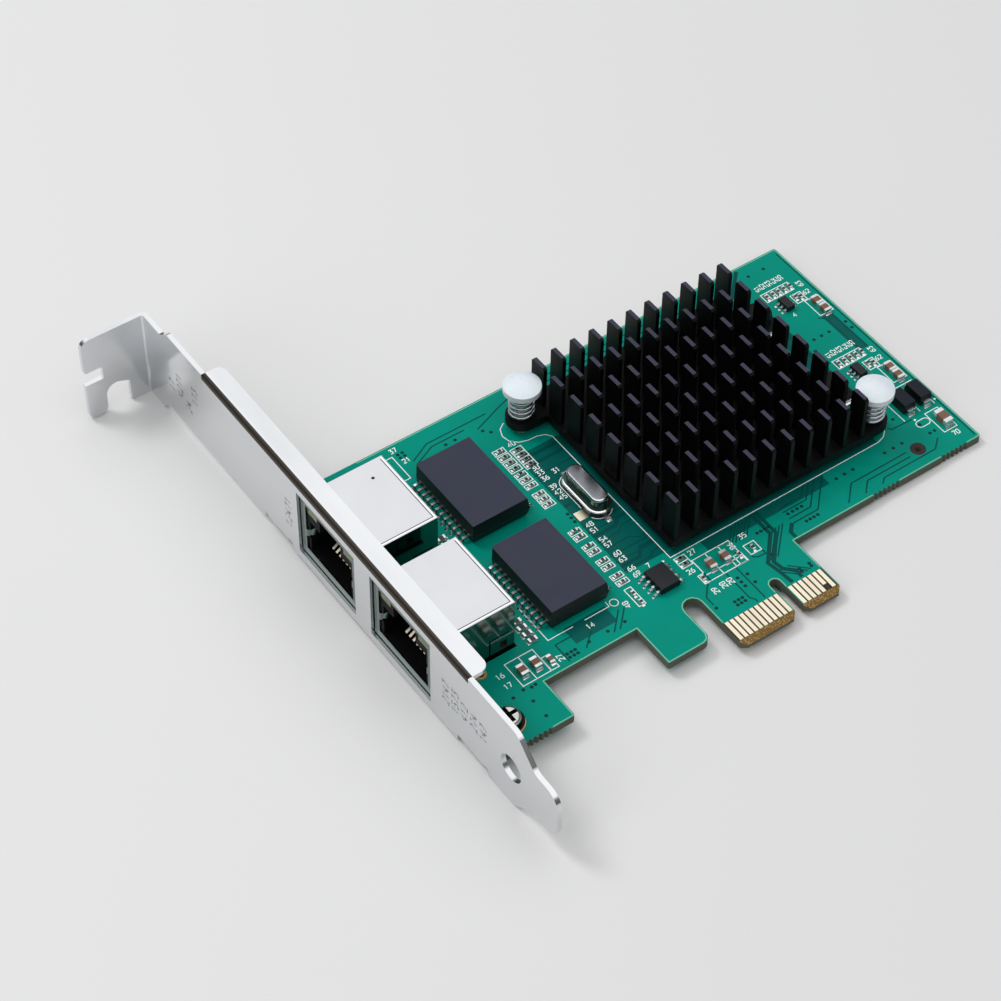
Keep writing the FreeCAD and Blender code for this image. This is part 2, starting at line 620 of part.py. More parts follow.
def io_bracket():
    """The folded slot bracket as one piece of sheet."""
    plate = bracket_plate()
    bend = BEND_INNER_R + SHEET
    flange_axis_x = PLATE_INNER_X + BEND_INNER_R
    # The plate gives way to each bend, and the tabs also get a relief notch on both sides
    room = [box((PLATE_OUTER_X, FLANGE_LOW_Y, BRACKET_TOP_Z - bend), (PLATE_INNER_X, FLANGE_HIGH_Y, BRACKET_TOP_Z)),
            box((PLATE_OUTER_X, EAR_INNER_Y - BEND_INNER_R, EAR_LOW_Z), (PLATE_INNER_X, EAR_INNER_Y, EAR_HIGH_Z))]
    for y in SCREW_YS:
        half = TAB_WIDTH / 2 + RELIEF_WIDTH
        room.append(box((PLATE_OUTER_X, y - half, BRACKET_BOTTOM_Z),
                        (PLATE_INNER_X, y + half, BRACKET_BOTTOM_Z + bend)))
    plate = plate.cut(room)
    pieces = [stiffening_flange(), ear(), ear_bend(),
              bend_along_y(flange_axis_x, BRACKET_TOP_Z - bend, FLANGE_LOW_Y, FLANGE_HIGH_Y, 1)]
    for y in SCREW_YS:
        half = TAB_WIDTH / 2
        pieces.append(bracket_tab(y))
        pieces.append(bend_along_y(flange_axis_x, BRACKET_BOTTOM_Z + bend, y - half, y + half, -1))
    bracket = plate.fuse(pieces).removeSplitter()
    cuts = []
    for centre_y in JACK_CENTRES_Y:
        half = JACK_WIDTH / 2 + WINDOW_SIDE_GAP
        cuts.append(box((PLATE_OUTER_X - CUT_OVERSHOOT, centre_y - half, JACK_BOTTOM_Z - WINDOW_LOW_GAP),
                        (PLATE_INNER_X + CUT_OVERSHOOT, centre_y + half, JACK_TOP_Z + WINDOW_HIGH_GAP)))
    hole_start = V(PLATE_OUTER_X - CUT_OVERSHOOT, *BRACKET_HOLE)
    hole = Part.makeCylinder(BRACKET_HOLE_R, SHEET + 2 * CUT_OVERSHOOT, hole_start, V(1, 0, 0))
    return bracket.cut(cuts + [hole])


def bend_face(to_point):
    """The quarter ring of sheet as a face; to_point places a distance pair along the two arms."""
    outer, inner = BEND_INNER_R + SHEET, BEND_INNER_R
    diagonal = math.sqrt(0.5)
    arcs = [Part.Arc(to_point(r, 0), to_point(r * diagonal, r * diagonal), to_point(0, r)).toShape()
            for r in (outer, inner)]
    ends = [Part.makeLine(to_point(outer, 0), to_point(inner, 0)),
            Part.makeLine(to_point(0, outer), to_point(0, inner))]
    return Part.Face(Part.Wire(Part.__sortEdges__(arcs + ends)))


def bend_along_y(axis_x, axis_z, low_y, high_y, up):
    """A quarter bend from the plate to a flange that points along +X, on the upper or lower edge."""
    face = bend_face(lambda out, rise: V(axis_x - out, low_y, axis_z + up * rise))
    return face.extrude(V(0, high_y - low_y, 0))


def ear_bend():
    """The quarter bend from the plate to the ear, which points along -X."""
    axis_x, axis_y = PLATE_OUTER_X - BEND_INNER_R, EAR_INNER_Y - BEND_INNER_R
    face = bend_face(lambda out, rise: V(axis_x + out, axis_y + rise, EAR_LOW_Z))
    return face.extrude(V(0, 0, EAR_HIGH_Z - EAR_LOW_Z))


def bracket_screws():
    """Cross-recess screws with a flanged head, from the component side into the bracket's bosses."""
    screws = []
    seat = RING_THICKNESS
    crown = seat + SCREW_HEAD_HEIGHT
    for y in SCREW_YS:
        head = cylinder(SCREW_X, y, seat + SCREW_FLANGE_HEIGHT, crown, SCREW_HEAD_R)
        head = head.makeFillet(SCREW_HEAD_EDGE_R, circles_at(head, crown))
        flange = cylinder(SCREW_X, y, seat, seat + SCREW_FLANGE_HEIGHT, SCREW_FLANGE_R)
        shank = cylinder(SCREW_X, y, BRACKET_BOTTOM_Z - SCREW_PAST_TAB, seat, SCREW_SHANK_R)
        slots = [centred_block((SCREW_X, y), size, crown - SCREW_RECESS_DEPTH, SCREW_RECESS_DEPTH)
                 for size in ((SCREW_RECESS_WIDTH, SCREW_RECESS_LENGTH), (SCREW_RECESS_LENGTH, SCREW_RECESS_WIDTH))]
        screws.append(head.fuse([flange, shank]).removeSplitter().cut(slots))
    return screws


def lights(centre_y):
    """The two light windows in the upper corners of the jack's face."""
    high = JACK_TOP_Z - LIP_HIGH - LIGHT_CORNER_GAP
    outer = JACK_WIDTH / 2 - LIP_SIDE - LIGHT_CORNER_GAP
    front = JACK_FRONT_X + SHIELD_WALL
    blocks = []
    for side in (-1, 1):
        edge, middle = centre_y + side * outer, centre_y + side * (outer - LIGHT_WIDTH)
        blocks.append(box((front, min(edge, middle), high - LIGHT_HEIGHT),
                          (front + LIGHT_DEPTH, max(edge, middle), high)))
    return blocks


def mouth(centre_y):
    """The plug opening: the main mouth and the latch channel above it."""
    floor_z = JACK_BOTTOM_Z + CAVITY_FLOOR
    start, end = JACK_FRONT_X, JACK_FRONT_X + CAVITY_DEPTH
    main = box((start, centre_y - CAVITY_WIDTH / 2, floor_z),
               (end, centre_y + CAVITY_WIDTH / 2, floor_z + CAVITY_HEIGHT))
    latch = box((start, centre_y - LATCH_WIDTH / 2, floor_z + CAVITY_HEIGHT),
                (end, centre_y + LATCH_WIDTH / 2, floor_z + CAVITY_HEIGHT + LATCH_HEIGHT))
    return main.fuse(latch).removeSplitter()


def contact_carrier(centre_y):
    """The raised part of the mouth's floor on which the contacts lie."""
    floor_z = JACK_BOTTOM_Z + CAVITY_FLOOR
    start = JACK_FRONT_X + JACK_CONTACT_FRONT + CARRIER_SET_BACK
    return box((start, centre_y - CARRIER_WIDTH / 2, floor_z),
               (JACK_FRONT_X + CAVITY_DEPTH, centre_y + CARRIER_WIDTH / 2, floor_z + CARRIER_RISE))


def shield_opening(centre_y, start, end):
    """The rectangular opening in the shell's face, inside its lips."""
    return box((start, centre_y - JACK_WIDTH / 2 + LIP_SIDE, JACK_BOTTOM_Z + LIP_LOW),
               (end, centre_y + JACK_WIDTH / 2 - LIP_SIDE, JACK_TOP_Z - LIP_HIGH))


def finger(centre_y, side):
    """A spring finger that runs from the shell's side lip back into the mouth."""
    lip = centre_y + side * (JACK_WIDTH / 2 - LIP_SIDE)
    inward = lip - side * FINGER_REACH
    back = JACK_FRONT_X + FINGER_DEPTH
    wall = SHIELD_WALL
    profile = [(JACK_FRONT_X, lip), (JACK_FRONT_X + wall, lip), (back, inward), (back - wall, inward - side * wall),
               (JACK_FRONT_X, lip - side * wall)]
    corners = [V(x, y, FINGER_LOW_Z) for x, y in profile]
    face = Part.Face(Part.makePolygon(corners + corners[:1]))
    return face.extrude(V(0, 0, FINGER_HIGH_Z - FINGER_LOW_Z))


def finger_room(centre_y, side):
    """The pocket in the moulded insert that leaves a finger free to spring."""
    lip = centre_y + side * (JACK_WIDTH / 2 - LIP_SIDE)
    inner = lip - side * (FINGER_REACH + SHIELD_WALL)
    outer = lip + side * FINGER_CLEARANCE
    return box((JACK_FRONT_X, min(inner, outer), FINGER_LOW_Z - FINGER_CLEARANCE),
               (JACK_FRONT_X + FINGER_DEPTH + FINGER_CLEARANCE, max(inner, outer), FINGER_HIGH_Z + FINGER_CLEARANCE))


def side_tab_cutter(centre_y, side):
    """The slot over and in front of a tab in the shell's side wall, and the tab's small window."""
    outer = centre_y + side * (JACK_WIDTH / 2 + CUT_OVERSHOOT)
    inner = centre_y + side * (JACK_WIDTH / 2 - SHIELD_WALL)
    low_y, high_y = sorted((inner, outer))
    far = JACK_BACK_X - SIDE_TAB_FROM_BACK
    near = far - SIDE_TAB_LENGTH
    over = box((near - SIDE_TAB_SLOT, low_y, SIDE_TAB_HIGH_Z), (far, high_y, SIDE_TAB_HIGH_Z + SIDE_TAB_SLOT))
    before = box((near - SIDE_TAB_SLOT, low_y, 0), (near, high_y, SIDE_TAB_HIGH_Z))
    window_far = far - SIDE_WINDOW_FROM_END
    window = box((window_far - SIDE_WINDOW_LENGTH, low_y, SIDE_WINDOW_LOW_Z),
                 (window_far, high_y, SIDE_WINDOW_LOW_Z + SIDE_WINDOW_HEIGHT))
    return [over, before, window]


def jack_shield(centre_y):
    """The stamped metal shell: lipped face, top, sides and back, open underneath."""
    shell = jack_box(centre_y).cut(jack_box(centre_y, SHIELD_WALL))
    open_floor = box((JACK_FRONT_X + LIP_SIDE, centre_y - JACK_WIDTH / 2 + SHIELD_WALL, JACK_BOTTOM_Z),
                     (JACK_BACK_X - SHIELD_WALL, centre_y + JACK_WIDTH / 2 - SHIELD_WALL, JACK_BOTTOM_Z + SHIELD_WALL))
    opening = shield_opening(centre_y, JACK_FRONT_X - CUT_OVERSHOOT, JACK_FRONT_X + SHIELD_WALL)
    shell = shell.cut([open_floor, opening] + side_tab_cutter(centre_y, -1) + side_tab_cutter(centre_y, 1))
    return shell.fuse([finger(centre_y, side) for side in (-1, 1)]).removeSplitter()


def contact_wire(y):
    """One spring contact: forward along the carrier, a hairpin, then a slope up and back to its free end."""
    low = JACK_BOTTOM_Z + CAVITY_FLOOR + CARRIER_RISE
    thickness = JACK_CONTACT_THICKNESS
    front = JACK_FRONT_X + JACK_CONTACT_FRONT
    back = JACK_FRONT_X + CAVITY_DEPTH
    end_x, end_z = front + JACK_CONTACT_RUN, low + JACK_CONTACT_RISE
    outline = [(back, low), (front + thickness, low), (front, low + 0.6 * thickness), (front, low + 1.6 * thickness),
               (end_x - thickness, end_z), (end_x, end_z - thickness), (front + 2 * thickness, low + 1.4 * thickness),
               (front + 2 * thickness, low + thickness), (back, low + thickness)]
    corners = [V(x, y - JACK_CONTACT_WIDTH / 2, z) for x, z in outline]
    face = Part.Face(Part.makePolygon(corners + corners[:1]))
    return face.extrude(V(0, JACK_CONTACT_WIDTH, 0))


def contact_wires(centre_y):
    """The row of spring contacts in one jack."""
    return [contact_wire(y) for y in centred_grid(JACK_CONTACTS, JACK_CONTACT_PITCH, centre_y)]


def jack_housing(centre_y):
    """The black moulded insert that fills the shell round the plug opening."""
    body = jack_box(centre_y, SHIELD_WALL)
    room = [mouth(centre_y).cut(contact_carrier(centre_y))] + lights(centre_y)
    room += [finger_room(centre_y, side) for side in (-1, 1)]
    return body.cut(room)


def leads_along_y(centre, body_half, span, pitch, count, width, knee_z):
    """Gull-wing leads on both X sides: a stub from the body, a drop and a foot."""
    leads = []
    foot_half = span / 2
    thickness = LEAD_THICKNESS
    for side in (-1, 1):
        root = centre[0] + side * body_half
        knee = centre[0] + side * (foot_half - LEAD_FOOT)
        tip = centre[0] + side * foot_half
        for y in centred_grid(count, pitch, centre[1]):
            path = [(root, knee_z), (root, knee_z - thickness), (knee, knee_z - thickness),
                    (knee, SOLDER_FILM), (tip, SOLDER_FILM), (tip, SOLDER_FILM + thickness),
                    (knee + side * thickness, SOLDER_FILM + thickness), (knee + side * thickness, knee_z)]
            corners = [V(x, y - width / 2, z) for x, z in path]
            face = Part.Face(Part.makePolygon(corners + corners[:1]))
            leads.append(face.extrude(V(0, width, 0)))
    return leads


def leaded_package(centre, body, stand_off, draft, span, pitch, count, width, lead_exit=LEAD_EXIT):
    """A moulded package and its leads, which leave the case at a share of its height."""
    case = tapered_block(centre, body[:2], stand_off, body[2] - stand_off, draft)
    knee_z = stand_off + (body[2] - stand_off) * lead_exit + LEAD_THICKNESS / 2
    leads = leads_along_y(centre, body[0] / 2 - draft, span, pitch, count, width, knee_z)
    return case, [lead.cut(case) for lead in leads]


def magnetics(centre_y):
    """One isolation transformer package with its leads low on both long sides."""
    centre = (MAGNETICS_CENTRE_X, centre_y)
    body = (MAGNETICS_WIDTH, MAGNETICS_LENGTH, MAGNETICS_TOP_Z)
    case, leads = leaded_package(centre, body, MAGNETICS_STAND_OFF, MAGNETICS_DRAFT, MAGNETICS_SPAN,
                                 MAGNETICS_PITCH, MAGNETICS_LEADS, MAGNETICS_LEAD_WIDTH, MAGNETICS_LEAD_EXIT)
    cut = corner_cutter(MAGNETICS_CENTRE_X - MAGNETICS_WIDTH / 2, centre_y + MAGNETICS_LENGTH / 2,
                        MAGNETICS_CORNER_CUT, MAGNETICS_STAND_OFF, MAGNETICS_TOP_Z)
    return case.cut(cut), leads


def solder_balls():
    """The grid of joints below the controller, as short drums."""
    return [cylinder(x, y, 0, BALL_HEIGHT, BALL_R)
            for x in centred_grid(BALL_ROWS, BALL_PITCH, CHIP_CENTRE[0])
            for y in centred_grid(BALL_ROWS, BALL_PITCH, CHIP_CENTRE[1])]


def fin(x, y):
    """One thin fin with chamfered tips."""
    low, high = y - FIN_LENGTH / 2, y + FIN_LENGTH / 2
    top = SINK_TOP_Z + FIN_HEIGHT
    outline = [(low, SINK_TOP_Z), (high, SINK_TOP_Z), (high, top - FIN_TIP_CHAMFER), (high - FIN_TIP_CHAMFER, top),
               (low + FIN_TIP_CHAMFER, top), (low, top - FIN_TIP_CHAMFER)]
    return plate_in_yz(outline, x - FIN_THICKNESS / 2, x + FIN_THICKNESS / 2)


def heatsink():
    """Cross-cut finned heatsink: base plate, rows of thin fins and two lobes for the push pins."""
    base = rounded_block(CHIP_CENTRE, (SINK_WIDTH, SINK_LENGTH), SINK_BOTTOM_Z, SINK_BASE, SINK_CORNER_R)
    lobes = []
    for index, (x, y) in enumerate(PIN_CENTRES):
        lobes.append(cylinder(x, y, SINK_BOTTOM_Z, SINK_TOP_Z, LOBE_R))
        edge = SINK_LEFT + SINK_CORNER_R if index == 0 else SINK_RIGHT - SINK_CORNER_R
        lobes.append(box((min(x, edge), y - LOBE_R, SINK_BOTTOM_Z), (max(x, edge), y + LOBE_R, SINK_TOP_Z)))
    fin_xs = centred_grid(FIN_COLUMNS, (SINK_WIDTH - 2 * FIN_SIDE_MARGIN - FIN_THICKNESS) / (FIN_COLUMNS - 1),
                          CHIP_CENTRE[0])
    fin_ys = centred_grid(FIN_ROWS, (SINK_LENGTH - 2 * FIN_END_MARGIN - FIN_LENGTH) / (FIN_ROWS - 1),
                          CHIP_CENTRE[1])
    sink = base.fuse(lobes).removeSplitter().fuse([fin(x, y) for x in fin_xs for y in fin_ys])
    holes = [cylinder(x, y, SINK_BOTTOM_Z, SINK_TOP_Z, PIN_SHANK_R + PIN_HOLE_CLEARANCE) for x, y in PIN_CENTRES]
    return sink.cut(holes)


def push_pin(x, y):
    """A nylon push pin: domed head, shank through lobe and board, and the barbed end below."""
    rim_z = PIN_HEAD_UNDER_Z + PIN_HEAD_RIM
    tip_z = BOARD_BOTTOM_Z - PIN_BARB_HEIGHT
    profile = [V(0, 0, tip_z), V(PIN_TIP_R, 0, tip_z), V(PIN_BARB_R, 0, BOARD_BOTTOM_Z),
               V(PIN_SHANK_R, 0, BOARD_BOTTOM_Z), V(PIN_SHANK_R, 0, PIN_HEAD_UNDER_Z),
               V(PIN_HEAD_R, 0, PIN_HEAD_UNDER_Z), V(PIN_HEAD_R, 0, rim_z)]
    edges = [Part.makeLine(profile[i], profile[i + 1]) for i in range(len(profile) - 1)]
    crown = V(0, 0, rim_z + PIN_HEAD_DOME)
    # A circle through the rim whose highest point is the crown
    dome_r = (PIN_HEAD_R ** 2 + PIN_HEAD_DOME ** 2) / (2 * PIN_HEAD_DOME)
    half_angle = math.asin(PIN_HEAD_R / dome_r) / 2
    middle = V(dome_r * math.sin(half_angle), 0, crown.z - dome_r * (1 - math.cos(half_angle)))
    edges.append(Part.Arc(V(PIN_HEAD_R, 0, rim_z), middle, crown).toShape())
    edges.append(Part.makeLine(crown, profile[0]))
    pin = Part.Face(Part.Wire(edges)).revolve(V(0, 0, 0), V(0, 0, 1), 360)
    solid = Part.Solid(pin) if pin.ShapeType == "Shell" else pin
    solid.translate(V(x, y, 0))
    return solid


def push_spring(x, y):
    """The coil spring between the lobe and the push pin's head."""
    low = SINK_TOP_Z + SPRING_WIRE_R
    height = PIN_HEAD_UNDER_Z - SINK_TOP_Z - 2 * SPRING_WIRE_R
    helix = Part.makeHelix(height / SPRING_TURNS, height, SPRING_R)
    section = Part.Wire([Part.makeCircle(SPRING_WIRE_R, V(SPRING_R, 0, 0), V(0, 1, 0))])
    coil = Part.Wire(helix).makePipeShell([section], True, True)
    coil.translate(V(x, y, low))
    return coil


def crystal():
    """The crystal's drawn can with its welded flange, its insulating base and its flat leads."""
    cx, cy = CRYSTAL_CENTRE
    base_low = CRYSTAL_LEAD_THICKNESS + SOLDER_FILM
    flange_low = base_low + CRYSTAL_BASE_THICKNESS
    can_low = flange_low + CRYSTAL_FLANGE_THICKNESS
    base = round_ended_block(CRYSTAL_CENTRE, CRYSTAL_FLANGE, base_low, CRYSTAL_BASE_THICKNESS)
    flange = round_ended_block(CRYSTAL_CENTRE, CRYSTAL_FLANGE, flange_low, CRYSTAL_FLANGE_THICKNESS)
    can = round_ended_block(CRYSTAL_CENTRE, CRYSTAL_CAN, can_low, CRYSTAL_CAN_HEIGHT)
    can = can.makeFillet(CRYSTAL_CAN_EDGE_R, edges_at(can, can_low + CRYSTAL_CAN_HEIGHT))
    can = can.fuse(flange).removeSplitter()
    leads = []
    for side in (-1, 1):
        inner = cy + side * CRYSTAL_LEAD_INNER
        outer = cy + side * (CRYSTAL_FLANGE[1] / 2 + CRYSTAL_LEAD_REACH)
        leads.append(box((cx - CRYSTAL_LEAD_WIDTH / 2, min(inner, outer), SOLDER_FILM),
                         (cx + CRYSTAL_LEAD_WIDTH / 2, max(inner, outer), base_low)))
    return can, base, leads


def end_terminal_package(centre):
    """A moulded diode with a folded terminal at each Y end."""
    case = tapered_block(centre, DIODE_BODY[:2], DIODE_STAND_OFF, DIODE_BODY[2] - DIODE_STAND_OFF, DIODE_DRAFT)
    terminals = []
    half_length = DIODE_BODY[1] / 2
    knee_z = DIODE_STAND_OFF + (DIODE_BODY[2] - DIODE_STAND_OFF) * LEAD_EXIT
    for side in (-1, 1):
        outer = centre[1] + side * (half_length + DIODE_LEAD_REACH)
        face_y = centre[1] + side * (half_length - DIODE_LEAD_TUCK)
        inner = outer - side * DIODE_LEAD_THICKNESS
        low, high = SOLDER_FILM, knee_z
        half = DIODE_LEAD_WIDTH / 2
        post = box((centre[0] - half, min(inner, outer), low), (centre[0] + half, max(inner, outer), high))
        foot = box((centre[0] - half, min(face_y, outer), low),
                   (centre[0] + half, max(face_y, outer), low + DIODE_LEAD_THICKNESS / 2))
        stub = box((centre[0] - half, min(face_y, outer), high - DIODE_LEAD_THICKNESS),
                   (centre[0] + half, max(face_y, outer), high))
        terminals.append(post.fuse([foot, stub]).removeSplitter().cut(case))
    return case, terminals


def inductor(centre):
    """A power inductor: a wound drum on a flat moulded base with a terminal at each Y end."""
    base = rounded_block(centre, INDUCTOR_BASE_SIZE, SOLDER_FILM, INDUCTOR_BASE_HEIGHT - SOLDER_FILM,
                         INDUCTOR_CORNER_R)
    drum = cylinder(*centre, INDUCTOR_BASE_HEIGHT, INDUCTOR_HEIGHT, INDUCTOR_DRUM_R)
    drum = drum.makeFillet(INDUCTOR_EDGE_R, circles_at(drum, INDUCTOR_HEIGHT))
    terminals = []
    width, length = INDUCTOR_TERMINAL
    for side in (-1, 1):
        outer = centre[1] + side * (INDUCTOR_BASE_SIZE[1] / 2 + INDUCTOR_TERMINAL_REACH)
        inner = outer - side * length
        block = box((centre[0] - width / 2, min(inner, outer), SOLDER_FILM),
                    (centre[0] + width / 2, max(inner, outer), INDUCTOR_BASE_HEIGHT / 2))
        terminals.append(block)
    return base.cut(terminals).fuse(drum).removeSplitter(), terminals


def chip(centre, size, along_x):
    """A two-terminal chip part: its middle body and its two end caps."""
    length, width, height = size
    cap = length * TERMINAL_SHARE
    ends = []
    if along_x:
        middle = centred_block(centre, (length - 2 * cap, width), SOLDER_FILM, height)
        for side in (-1, 1):
            x = centre[0] + side * (length - cap) / 2
            ends.append(centred_block((x, centre[1]), (cap, width), SOLDER_FILM, height))
    else:
        middle = centred_block(centre, (width, length - 2 * cap), SOLDER_FILM, height)
        for side in (-1, 1):
            y = centre[1] + side * (length - cap) / 2
            ends.append(centred_block((centre[0], y), (width, cap), SOLDER_FILM, height))
    return middle, ends


def chips(places, size, along_x):
    """Bodies and end caps of many alike chip parts."""
    bodies, caps = [], []
    for place in places:
        middle, ends = chip(place, size, along_x)
        bodies.append(middle)
        caps += ends
    return bodies, caps


def resistor_places():
    """Small resistors beside the magnetics, all lying along X."""
    places = [(RESISTOR_COLUMN_X, y) for y in grid(RESISTOR_COLUMN_COUNT, RESISTOR_COLUMN_PITCH, RESISTOR_COLUMN_Y)]
    places += [(RESISTOR_COLUMN_X, y) for y in grid(TRIPLE_COUNT, TRIPLE_PITCH, TRIPLE_Y)]
    for y in grid(PAIR_COUNT, PAIR_PITCH, PAIR_ROW_Y):
        places += [(RESISTOR_COLUMN_X, y), (RESISTOR_COLUMN_X, y + PAIR_GAP)]
    places += [(SHORT_COLUMN_X, y) for y in grid(SHORT_COLUMN_COUNT, SHORT_COLUMN_PITCH, SHORT_COLUMN_Y)]
    return places


def termination_places():
    """The termination resistors behind each jack."""
    return [(TERMINATION_X, y) for centre_y in JACK_CENTRES_Y
            for y in grid(TERMINATION_COUNT, TERMINATION_PITCH, centre_y + TERMINATION_FROM_JACK)]


def filter_places():
    """The row of small parts above each converter and the two beside it, all lying along Y."""
    places = []
    for x, y in CONVERTER_CENTRES:
        places += [(row_x, y + FILTER_ROW_ABOVE_CHIP) for row_x in grid(FILTER_ROW_COUNT, FILTER_ROW_PITCH, FILTER_ROW_X)]
        places += [(x + dx, y + dy) for dx, dy in FILTER_SIDE_FROM_CHIP]
    return places


def large_capacitor_places():
    """Large ceramic capacitors: the hand-placed ones and the converters' outputs."""
    places = list(LARGE_CAPACITORS)
    for centre in CONVERTER_CENTRES:
        places += [(OUTPUT_CAPACITOR_X, centre[1] - OUTPUT_CAPACITOR_BELOW_CHIP - offset)
                   for offset in grid(2, OUTPUT_CAPACITOR_PITCH)]
    return places


def build_passives():
    """Write the chip resistors and ceramic capacitors."""
    small_bodies, small_caps = chips(resistor_places() + list(SMALL_ALONG_X), CHIP_SMALL, True)
    more_bodies, more_caps = chips(filter_places() + list(SMALL_ALONG_Y), CHIP_SMALL, False)
    medium_bodies, medium_caps = chips(termination_places(), CHIP_MEDIUM, True)
    write("resistor_bodies", small_bodies + more_bodies + medium_bodies)
    write("resistor_end_caps", small_caps + more_caps + medium_caps)
    side_bodies, side_caps = chips(MEDIUM_ALONG_Y, CHIP_MEDIUM, False)
    large_bodies, large_caps = chips(large_capacitor_places(), CHIP_LARGE, False)
    long_bodies, long_caps = chips([LONG_CAPACITOR], CHIP_LONG, False)
    write("capacitor_bodies", large_bodies + long_bodies + side_bodies)
    write("capacitor_end_caps", large_caps + long_caps + side_caps)


def build_packages():
    """Write the moulded packages, the crystal and the inductors."""
    for name, centre_y in zip(("upper", "lower"), MAGNETICS_CENTRES_Y):
        case, leads = magnetics(centre_y)
        write("magnetics_" + name + "_case", [case])
        write("magnetics_" + name + "_leads", leads)
    case, leads = leaded_package(MEMORY_CENTRE, MEMORY_BODY, MEMORY_STAND_OFF, MEMORY_DRAFT, MEMORY_SPAN,
                                 MEMORY_PITCH, MEMORY_LEADS, MEMORY_LEAD_WIDTH)
    write("memory_chip", [case])
    write("memory_leads", leads)
    converters = [leaded_package(centre, CONVERTER_BODY, CONVERTER_STAND_OFF, CONVERTER_DRAFT, CONVERTER_SPAN,
                                 CONVERTER_PITCH, CONVERTER_LEADS, CONVERTER_LEAD_WIDTH)
                  for centre in CONVERTER_CENTRES]
    write("converter_chips", [case for case, _ in converters])
    write("converter_leads", [lead for _, leads in converters for lead in leads])
    diodes = [end_terminal_package(centre) for centre in DIODE_CENTRES]
    write("power_diodes", [case for case, _ in diodes])
    write("diode_terminals", [terminal for _, terminals in diodes for terminal in terminals])
    inductors = [inductor(centre) for centre in INDUCTOR_CENTRES]
    write("inductors", [body for body, _ in inductors])
    write("inductor_terminals", [terminal for _, terminals in inductors for terminal in terminals])
    can, base, leads = crystal()
    write("crystal_can", [can])
    write("crystal_base", [base])
    write("crystal_leads", leads)


def build_jacks():
    """Write both network jacks."""
    for name, centre_y in zip(("upper", "lower"), JACK_CENTRES_Y):
        write("jack_" + name + "_shield", [jack_shield(centre_y)])
        write("jack_" + name + "_housing", [jack_housing(centre_y)])
        write("jack_" + name + "_contacts", contact_wires(centre_y))
        write("jack_" + name + "_lights", lights(centre_y))


def build_cooling():
    """Write the controller stack, the heatsink and what holds it."""
    write("controller_solder_balls", solder_balls())
    size = SUBSTRATE_SIZE
    write("controller_substrate", [centred_block(CHIP_CENTRE, (size, size), BALL_HEIGHT, SUBSTRATE_THICKNESS)])
    die_z = BALL_HEIGHT + SUBSTRATE_THICKNESS
    write("controller_cap", [centred_block(CHIP_CENTRE, (DIE_SIZE, DIE_SIZE), die_z, DIE_THICKNESS)])
    write("thermal_pad", [centred_block(CHIP_CENTRE, (PAD_SIZE, PAD_SIZE), die_z + DIE_THICKNESS, PAD_THICKNESS)])
    write("heatsink", [heatsink()])
    for name, (x, y) in zip(("left", "right"), PIN_CENTRES):
        write("push_pin_" + name, [push_pin(x, y)])
        write("push_spring_" + name, [push_spring(x, y)])


def main():
    """Write every node."""
    os.makedirs("parts", exist_ok=True)
    write("circuit_board", [circuit_board()])
    write("hole_rings", hole_rings())
    write("edge_contacts_front", edge_contacts(0, True))
    write("edge_contacts_back", edge_contacts(BOARD_BOTTOM_Z - CONTACT_THICKNESS, False))
    write("io_bracket", [io_bracket()])
    write("bracket_screws", bracket_screws())
    build_jacks()
    build_cooling()
    build_packages()
    build_passives()


main()
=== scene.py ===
"""Looks of a two-port network interface card with a black heatsink and a full-height bracket.

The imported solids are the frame. This script dresses them in materials, adds the printed and
soldered detail that lies on the board, and sets up the floor, the lamps and the camera.
Lengths in the classes are in millimetres, as on a drawing, and become metres in a mesh.
"""
from __future__ import annotations

import logging
import math
from dataclasses import dataclass
from enum import Enum

import bpy
import numpy as np
from mathutils import Matrix, Vector

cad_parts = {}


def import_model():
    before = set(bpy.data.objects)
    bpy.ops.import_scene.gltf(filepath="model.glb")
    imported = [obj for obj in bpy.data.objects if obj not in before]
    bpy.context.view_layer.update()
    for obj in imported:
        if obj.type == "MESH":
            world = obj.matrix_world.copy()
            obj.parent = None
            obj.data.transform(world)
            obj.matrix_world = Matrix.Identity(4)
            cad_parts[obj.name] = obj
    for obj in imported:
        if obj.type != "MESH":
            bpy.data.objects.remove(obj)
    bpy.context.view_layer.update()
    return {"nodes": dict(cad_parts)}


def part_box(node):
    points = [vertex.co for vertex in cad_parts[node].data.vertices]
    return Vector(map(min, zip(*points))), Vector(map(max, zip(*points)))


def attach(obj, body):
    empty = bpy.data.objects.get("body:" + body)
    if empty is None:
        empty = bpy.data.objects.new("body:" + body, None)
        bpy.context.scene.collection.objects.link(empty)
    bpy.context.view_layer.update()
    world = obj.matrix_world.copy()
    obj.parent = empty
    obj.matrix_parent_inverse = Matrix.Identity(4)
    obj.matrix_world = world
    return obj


MM = 0.001
LOG = logging.getLogger("network_card")
Socket = bpy.types.NodeSocket
Pair = tuple[float, float]
Line = tuple[Pair, ...]
Triple = tuple[float, float, float]
Box = tuple[float, float, float, float]
Mesh = tuple[np.ndarray, np.ndarray]
# A smooth noise mostly stays in this span, and a face is level where its normal's z is above this
NOISE_SPAN, LEVEL = (0.3, 0.7), 0.9
# The sharpest mitre of a drawn line, and points along an arc
MITRE_LIMIT, ARC_POINTS = 0.4, 17
# Numbers of a mix node's inputs and output for colours, and of its inputs for values
MIX_A, MIX_B, MIX_RESULT, VALUE_A, VALUE_B = 6, 7, 2, 2, 3


# ---- Small tools for colours, nodes and meshes


